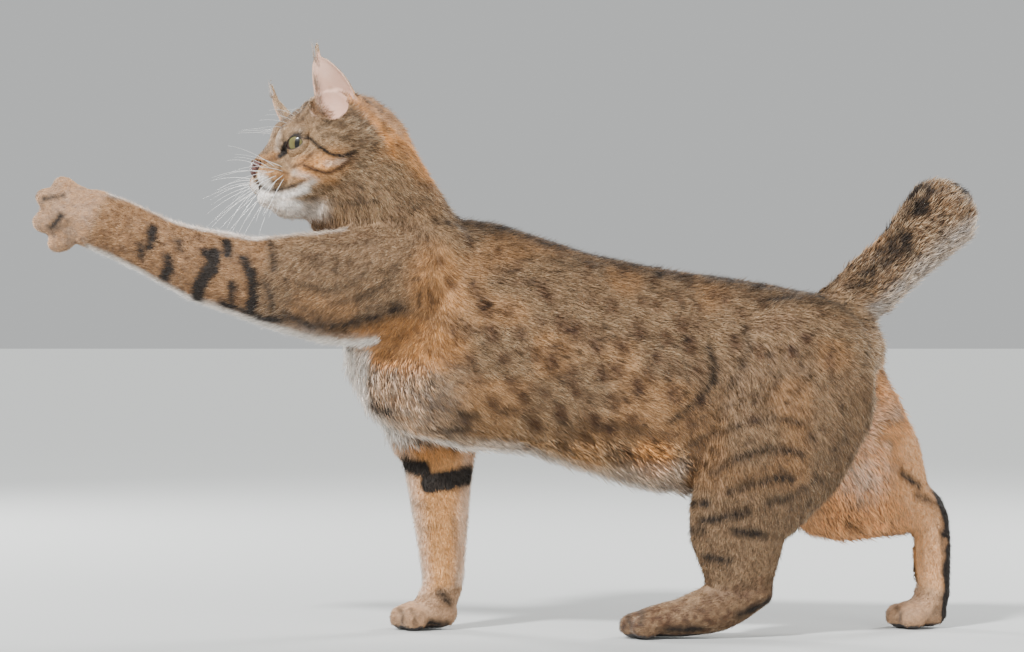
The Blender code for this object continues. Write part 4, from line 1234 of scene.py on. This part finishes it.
def skin_round_lids(sign, line, out, gap, tree):
    """How far out from the lids' edge the skin first stands over the eyeball, and how high it is there."""
    centre = eye_frame(sign).translation
    met, edge = np.full((2, len(line)), np.nan)
    for step in np.arange(*LID_SEARCH):
        for k, way in enumerate(around_eye(sign, line + out * step)):
            if not np.isnan(met[k]):
                continue
            way = Vector(way)
            start = centre + way * LID_RAY * MM
            place, normal, _, _ = tree.ray_cast(start, -way, (LID_RAY - EYE_RADIUS - 0.4) * MM)
            if place is not None and normal.dot(way) > 0.05:
                met[k] = max(step, gap[k])
                edge[k] = LID_RAY - (start - place).length / MM
    good = np.flatnonzero(~np.isnan(met))
    met, edge = (np.interp(np.arange(len(line)), good, row[good], period=len(line)) for row in (met, edge))
    met = np.maximum(met, np.maximum(np.roll(met, 2), np.roll(met, -2)))
    return np.clip(evened(met, 6), 1.5, 8.0) + 0.5, evened(edge, 6)


def make_lids(sign, word, tree, near, marks, material):
    """Both lids as one closed ring: a wet dark rim, and furred skin that dips under the skin round it."""
    line = closed_curve([(-sign * a, b) for a, b in LID_LINE])
    angle = np.arctan2(line[:, 1] / (EYE_HEIGHT / 2), line[:, 0] / (EYE_WIDTH / 2))
    socket = np.stack([EYE_WIDTH / 2 * np.cos(angle), EYE_HEIGHT / 2 * np.sin(angle) - 0.8], axis=1)
    socket = evened(socket, 8)
    out = unit(socket)
    met, edge = skin_round_lids(sign, line, out, ((socket - line) * out).sum(1), tree)
    rim = np.full(len(line), EYE_RADIUS)

    def between(share):
        return (rim + 0.95) * (1 - share) + np.maximum(edge - 0.2, rim + 0.5) * share

    # each ring's distance out from the lids' edge, its height, and how wet, dark, dark in the corner
    # and furred it is
    rows = [
        (-0.1, rim + 0.06, 1, 1, 1, 0), (0.0, rim + 0.45, 1, 1, 1, 0), (0.35, rim + 0.8, 0.7, 1, 1, 0),
        (0.9, rim + 0.95, 0.1, 0.75, 1, 0.4), (0.9 + 0.35 * (met - 0.9), between(0.3), 0, 0.1, 0.8, 1),
        (0.9 + 0.7 * (met - 0.9), between(0.75), 0, 0, 0.4, 1), (met, between(1.0), 0, 0, 0, 1),
        (met + 1.1, edge - 0.9, 0, 0, 0, 0.3), (met + 0.6, edge - 2.0, 0, 0, 0, 0),
        (0.5 * met, rim + 0.04, 1, 0, 0, 0),
    ]
    centre = np.array(eye_frame(sign).translation)
    rings = []
    for offset, high, *_ in rows:
        flat = line + out * np.broadcast_to(offset, len(line))[:, None]
        rings.append(centre + around_eye(sign, flat) * high[:, None] * MM)
    verts = np.array(rings).reshape(-1, 3)
    count, around = len(rows), len(line)
    faces = [(i * around + k, i * around + (k + 1) % around,
              (i + 1) % count * around + (k + 1) % around, (i + 1) % count * around + k)
             for i in range(count) for k in range(around)]
    lids = mesh_object(f"lids_{word}", verts, faces)
    face_outwards(lids)
    wet, band, corner, furred = (np.array(column, float)[:, None] for column in list(zip(*rows))[2:])
    near_nose = smoothstep(4.5, 8.0, line[:, 0] * -sign)
    dark = np.maximum(band * smoothstep(1.0, 3.0, line[:, 1]), corner * near_nose).ravel()
    wet, furred = ((row * np.ones(around)).ravel() for row in (wet, furred))
    found = np.array([marks[near.find(p)[1]] for p in verts])
    found[:, 0] = np.maximum(found[:, 0], dark)
    keep_attribute(lids, "marks", found[:, :3])
    keep_attribute(lids, "tone", skin_tone(found, verts, 0.001))
    keep_attribute(lids, "bare", np.stack([0 * wet, wet, 0 * wet], axis=1))
    lids.data.materials.append(material)
    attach(lids, "root")
    return lids, furred * (1 - np.clip(1.4 * dark, 0, 1))


def make_nose(material):
    nose = node_copy("nose")
    nose.name = nose.data.name = "nose_pad"
    modify(nose, "REMESH", mode="VOXEL", voxel_size=0.35 * MM, adaptivity=0)
    modify(nose, "SMOOTH", factor=0.5, iterations=5)
    co = places(nose)
    # painted shade: the nostrils and other hollows of the nose are kept in its deep attribute, to be
    # darkened
    crease_shade = ((spread(co, edges_of(nose), 10) - co) * vertex_normals(nose)).sum(1) / MM
    keep_attribute(nose, "deep", smoothstep(0.03, 0.25, crease_shade))
    nose.data.shade_smooth()
    nose.data.materials.append(material)
    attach(nose, "root")
    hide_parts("nose")


def bristle(start, way, length, droop, base, steps=10):
    """A whisker in the head's frame that bends down, thins to its end and stays near the head."""
    t = np.arange(steps + 1)[:, None] / steps
    rows = on_head(np.array(start) + unit(np.array(way, float)) * length * t + (0, 0, -droop) * t**2)
    beyond = np.maximum(0, np.abs(rows[:, 1]) - WHISKER_SIDE * MM)
    bend = WHISKER_BEND * MM
    rows[:, 1] -= np.sign(rows[:, 1]) * (beyond - bend * (1 - np.exp(-beyond / bend)))
    return thread(rows, (base * (1 - t[:, 0]) ** 0.8 + 0.03) * MM, 5)


def make_whiskers(material, rng):
    """Whiskers of the lip, swept forwards, and those of the brow, cheek and chin."""
    threads = []
    for sign in (1, -1):
        side = 0.62 if sign == 1 else 0.12
        for row in range(4):
            for column in range(4):
                start = (8 + 4.2 * column, sign * (12.5 + 2.2 * column), -3.5 - 3.2 * row - 0.4 * column)
                way = (-0.95 + 0.10 * column, sign * (side + 0.10 * column + rng.normal(0, 0.07)),
                       0.42 - 0.36 * row - 0.05 * column + rng.normal(0, 0.06))
                length = (38 + 7 * column - 3 * abs(row - 1.5)) * (0.8 + 0.35 * rng.random())
                threads.append(bristle(start, way, length, 7 + 7 * rng.random(), 0.17))
        for k in range(6):
            start = (34 + 2.0 * k, sign * (8 + 2.6 * k), 30 + 1.2 * k)
            way = (-1.0, sign * (0.10 + 0.04 * k), 0.15 + 0.22 * k + rng.normal(0, 0.06))
            threads.append(bristle(start, way, 24 + 14 * rng.random(), 6 + 3 * k, 0.12))
    for k in range(6):
        start = (9 + 2.5 * k, rng.normal(0, 4), -29)
        threads.append(bristle(start, (-0.6, rng.normal(0, 0.3), -1), 7 + 5 * rng.random(), 0, 0.12))
    join_threads("whiskers", threads, material)


def make_ear_hair(word, material, rng):
    """The lynx tuft at the ear's tip and the long hairs inside its front edge, as fine locks."""
    sign, base, tip, axis, way, across = ear_axes(word)
    locks = []
    for k in range(14):
        start = (tip - axis * (1 + 5 * rng.random()) + across * rng.normal(0, 0.8)
                 + way * rng.normal(-0.8, 0.4))
        up = unit(np.array([0.06, sign * 0.1, 1]) + across * rng.normal(0, 0.13)
                  + way * rng.normal(0, 0.08))
        locks.append((start, up, 8 + 8 * rng.random(), 0.34))
    for k in range(150):
        t = 0.05 + rng.random() * 0.62
        edge = -13.0 * (1 - t**1.6) + 3.5 * rng.random() ** 2
        start = (base + axis * (t * np.linalg.norm(tip - base)) + across * edge
                 + way * (-2.5 + 2 * rng.random()))
        up = unit(across * (0.45 + rng.normal(0, 0.2)) + axis + way * (0.10 + rng.normal(0, 0.12)))
        locks.append((start, up, 4 + 5 * rng.random(), 0.30))
    threads = []
    for start, up, length, base_width in locks:
        rows = [start + up * length * t + axis * 0.12 * length * t**2 for t in (0, 0.5, 1)]
        radii = np.array([base_width, base_width * 0.6, 0.05]) * MM * 0.5
        threads.append(thread(on_head(rows), radii, 3))
    join_threads(f"ear_hair_{word}", threads, material)


# Now the cat itself.

skin, full = make_skin()
points = places(skin)
home = nearest(full, points)
owner = full["owner"][home]
pairs = edges_of(skin)

# the skin is set in by the coat's depth
length = hair_length(points, owner, pairs)
hollow = inside_ears(full["points"], full["normals"], on_part(full["owner"], *EARS))
hollow = hollow * (1 - Painter(full).strokes(EAR_FRONT, soft=2.0, mirrored=True))
hollow = spread(hollow, full["pairs"], 3)[home]
depth = length * COAT_RISE * (1 - hollow)
depth[on_part(owner, *EARS)] = EAR_DEPTH
depth = spread(depth, pairs, 10)
weigh(skin, "depth", depth / depth.max())
for _ in range(DEPTH_STEPS):
    modify(skin, "DISPLACE", strength=-depth.max() * MM / DEPTH_STEPS, mid_level=0, vertex_group="depth")
    modify(skin, "SMOOTH", factor=0.4, iterations=1, vertex_group="depth")
skin.vertex_groups.clear()

points = places(skin)
normals = vertex_normals(skin)
lie = hair_lie(points, normals, owner, pairs)
fine_marks = markings(full)
marks = fine_marks[home]
pads = ((points[:, 2] < PAD_TOP) & (normals[:, 2] < -0.5)).astype(float)
keep_attribute(skin, "marks", marks[:, :3])
keep_attribute(skin, "tone", skin_tone(marks, points, 0.0015))
keep_attribute(skin, "bare", np.stack([hollow, pads, 0 * pads], axis=1))

group = coat_colours()
coat = coat_material(group)
skin.data.shade_smooth()
skin.data.materials.clear()
skin_look = skin_material(group)
skin.data.materials.append(skin_look)
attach(skin, "root")
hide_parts(*FLESH, *EARS)

# no tufts in the ears, on the pads, over the eyes or on the nose
tris = triangles(skin)
bald = np.maximum(np.minimum(1, hollow * 1.3), pads)
for sign in (1, -1):
    eye = in_frame(points, eye_frame(sign))
    near = np.hypot(eye[:, 1] / (EYE_WIDTH / 2 + 0.8), (eye[:, 2] + 0.8) / (EYE_HEIGHT / 2 + 1.0))
    bald = np.maximum(bald, (near < 1.0) & (eye[:, 0] < 0) & (eye[:, 0] > -16))
nose_far = np.linalg.norm((in_frame(points, HEAD) - (3.6, 0, 0.5)) / (6.0, 8.2, 6.8), axis=1)
bald = np.maximum(bald, nose_far < 1.0)

REGIONS = {
    # name: parts, and the centre line that their tufts' patches are laid out round
    "coat_head": (["head", *EARS], [(-190, -25, 345), (-100, -5, 360)]),
    "coat_neck": (["neck"], [(-140, -12, 390), (-60, 0, 230)]),
    "coat_fore_trunk": (["torso"], [(-120, 0, 225), (60, 0, 210)]),
    "coat_mid_trunk": (["torso"], [(-10, 0, 210), (150, 0, 190)]),
    "coat_rump": (["torso"], [(100, 0, 190), (300, 0, 200)]),
    "coat_tail": (["tail"], [(245, 0, 240), (345, 0, 335)]),
    "coat_reaching_arm": (["upper_arm_left", "forearm_left"], [(-60, -40, 262), (-310, -32, 310)]),
    "coat_standing_foreleg": (["foreleg_right"], [(-60, 34, 150), (-56, 31, 20)]),
    "coat_left_hind": (["thigh_left", "shank_left"], [(215, -38, 215), (170, -39, 30)]),
    "coat_right_hind": (["thigh_right", "hock_right"], [(240, 38, 210), (320, 41, 20)]),
    "coat_paws": (["forepaw_left", "forepaw_right", "hindpaw_left", "hindpaw_right"],
                  [(-340, 0, 10), (340, 0, 20)]),
}
# the trunk's tufts are parted along X
CUTS = {"coat_fore_trunk": (-1, 0.02), "coat_mid_trunk": (0.02, 0.13), "coat_rump": (0.13, 1)}
LID_CENTRE_LINE = [(-200, -25, 345), (-150, -20, 350)]
# tufts for the same area, against 1 on the torso and thighs
DENSITY = {
    "head": 3.2, "forepaw_left": 2.4, "forepaw_right": 2.4, "hindpaw_left": 2.2, "hindpaw_right": 2.4,
    "ear_left": 2.6, "ear_right": 2.6, "forearm_left": 1.5, "foreleg_right": 1.5, "hock_right": 1.5,
    "shank_left": 1.4, "upper_arm_left": 1.2, "neck": 1.1, "tail": 1.2,
}
rng = np.random.default_rng(7)
skin_near = tree_of(points)
per_part = np.array([DENSITY.get(name, 1.0) for name in PARTS])[owner]
short_here = length < LONG_HAIR


def gather(surface, chosen, mix):
    """All that is known of each tuft rooted on a surface: its points, hair lengths, normals and lie."""
    sides = surface["tris"]
    place = blend_at(surface["points"], sides, chosen, mix)
    hair = blend_at(surface["length"], sides, chosen, mix)
    count = len(place)
    normal = unit(blend_at(surface["normals"], sides, chosen, mix))
    way = unit(blend_at(surface["lie"], sides, chosen, mix))
    way = way - normal * (way * normal).sum(1)[:, None]
    side = np.cross(normal, way)
    swirl = (noise(place, 0.012, 31) - 0.5) * 0.5 + rng.normal(0, 0.13, count)
    way = unit(way + side * swirl[:, None])
    tip_noise = 0.78 + 0.34 * rng.random(count)
    stray = (rng.random(count) < 0.13) & (hair > 4.5)
    clump = np.clip(0.5 + 1.7 * (noise(place, 0.0021, 5) - 0.5), 0, 1)
    # a tuft takes the markings of the skin under its tip
    worn = fine_marks[nearest(full, place + (way * 0.6 + normal * 0.25) * (hair * MM)[:, None])]
    return {
        "place": place, "normal": normal, "lie": way,
        "length": hair * tip_noise,
        "width": (0.26 + 0.048 * hair) * (0.7 + 0.6 * rng.random(count)),
        "rise": COAT_RISE * (0.75 + 0.5 * rng.random(count)) * (0.7 + 0.6 * noise(place, 0.009, 17))
        * (1 + 1.4 * stray),
        "curl": rng.normal(0, 0.05, count),
        "marks": np.clip(worn, 0, 1),
        "shade": np.clip(0.5 * rng.random(count) + 0.5 * clump, 0, 1),
    }


def pick(roots, keep):
    return {key: value[keep] for key, value in roots.items()}


body = {"points": points, "tris": tris, "length": length, "normals": normals, "lie": lie}
sets = []
for bent, count in ((True, LONG_TUFTS), (False, SHORT_TUFTS)):
    weight = (1 - bald) * per_part * (short_here != bent)
    chosen, mix = tuft_roots(rng, points, tris, weight, count)
    sets.append((bent, gather(body, chosen, mix), owner[tris[chosen, 0]]))

for name, (parts, line) in REGIONS.items():
    for bent, roots, home in sets:
        x = roots["place"][:, 0]
        low, high = CUTS.get(name, (-1, 1))
        keep = on_part(home, *parts) & (x >= low) & (x < high)
        if not keep.any():
            continue
        some = pick(roots, keep)
        pieces = 1 + int(keep.sum() * (LONG_TUFT_FACES if bent else SHORT_TUFT_FACES) // PIECE_FACES)
        turn = np.arange(keep.sum()) % pieces
        for k in range(pieces):
            suffix = ("" if bent else "_short") + (f"_{k + 1}" if pieces > 1 else "")
            tuft_mesh(name + suffix, pick(some, turn == k), bent, coat, line)

eye_look = eye_material()
skin_tree = BVHTree.FromObject(skin, bpy.context.evaluated_depsgraph_get())
for sign, word in ((1, "right"), (-1, "left")):
    make_eye(sign, word, eye_look)
    lids, on_lids = make_lids(sign, word, skin_tree, skin_near, marks, skin_look)
    lid = {"points": places(lids), "tris": triangles(lids), "normals": vertex_normals(lids)}
    lid["lie"] = unit(lid["points"] - on_head([NOSE_TOP]))
    lid["length"] = np.full(len(on_lids), LID_HAIR)
    chosen, mix = tuft_roots(rng, lid["points"], lid["tris"], on_lids, LID_TUFTS)
    tuft_mesh(f"coat_lids_{word}", gather(lid, chosen, mix), False, coat, LID_CENTRE_LINE)
make_nose(leather_material("nose_leather", *NOSE_LEATHER, 2400, 0.5))
make_whiskers(hair_material("whisker", *WHISKER, 0.3), rng)
ear_hair = hair_material("ear_hair", *EAR_HAIR, 0.5)
for word in ("left", "right"):
    make_ear_hair(word, ear_hair, rng)


# The floor, lights and camera.


def linked(name, data, place):
    made = bpy.data.objects.new(name, data)
    bpy.context.scene.collection.objects.link(made)
    made.location = place
    return made


def make_stage():
    bpy.ops.mesh.primitive_plane_add(size=60, location=(0, 0, 0))
    floor = bpy.context.object
    floor.name = "floor"
    made, *_ = new_material("pale_floor", Base_Color=(0.46, 0.47, 0.46, 1), Roughness=0.8)
    floor.data.materials.append(made)
    world = bpy.data.worlds.new("studio")
    bpy.context.scene.world = world
    world.use_nodes = True
    world.node_tree.nodes["Background"].inputs["Color"].default_value = (0.84, 0.86, 0.86, 1)
    world.node_tree.nodes["Background"].inputs["Strength"].default_value = 0.66


def light(name, kind, place, aim, power, **settings):
    data = bpy.data.lights.new(name, kind)
    data.energy = power
    for key, value in settings.items():
        setattr(data, key, value)
    lamp = linked(name, data, place)
    lamp.rotation_mode = "QUATERNION"
    lamp.rotation_quaternion = (Vector(aim) - Vector(place)).to_track_quat("-Z", "Y")


def make_camera():
    data = bpy.data.cameras.new("camera")
    data.sensor_width = 36
    data.lens = FOCAL_LENGTH
    data.clip_start, data.clip_end = 0.05, 60
    camera = linked("camera", data, VIEWPOINT)
    camera.rotation_euler = (math.radians(90), 0, 0)
    bpy.context.scene.camera = camera


make_stage()
light("key", "SUN", (-1.3, -1.7, 1.9), (0, 0, 0), 6.4, angle=math.radians(7))
light("fill", "AREA", (1.5, -1.6, 0.9), (0, 0, 0.2), 26, shape="DISK", size=1.2)
light("rim_left", "AREA", (-1.3, 1.4, 0.9), (0, 0, 0.25), 46, shape="DISK", size=0.7)
light("rim_right", "AREA", (1.5, 1.2, 1.2), (0, 0, 0.25), 46, shape="DISK", size=0.7)
make_camera()
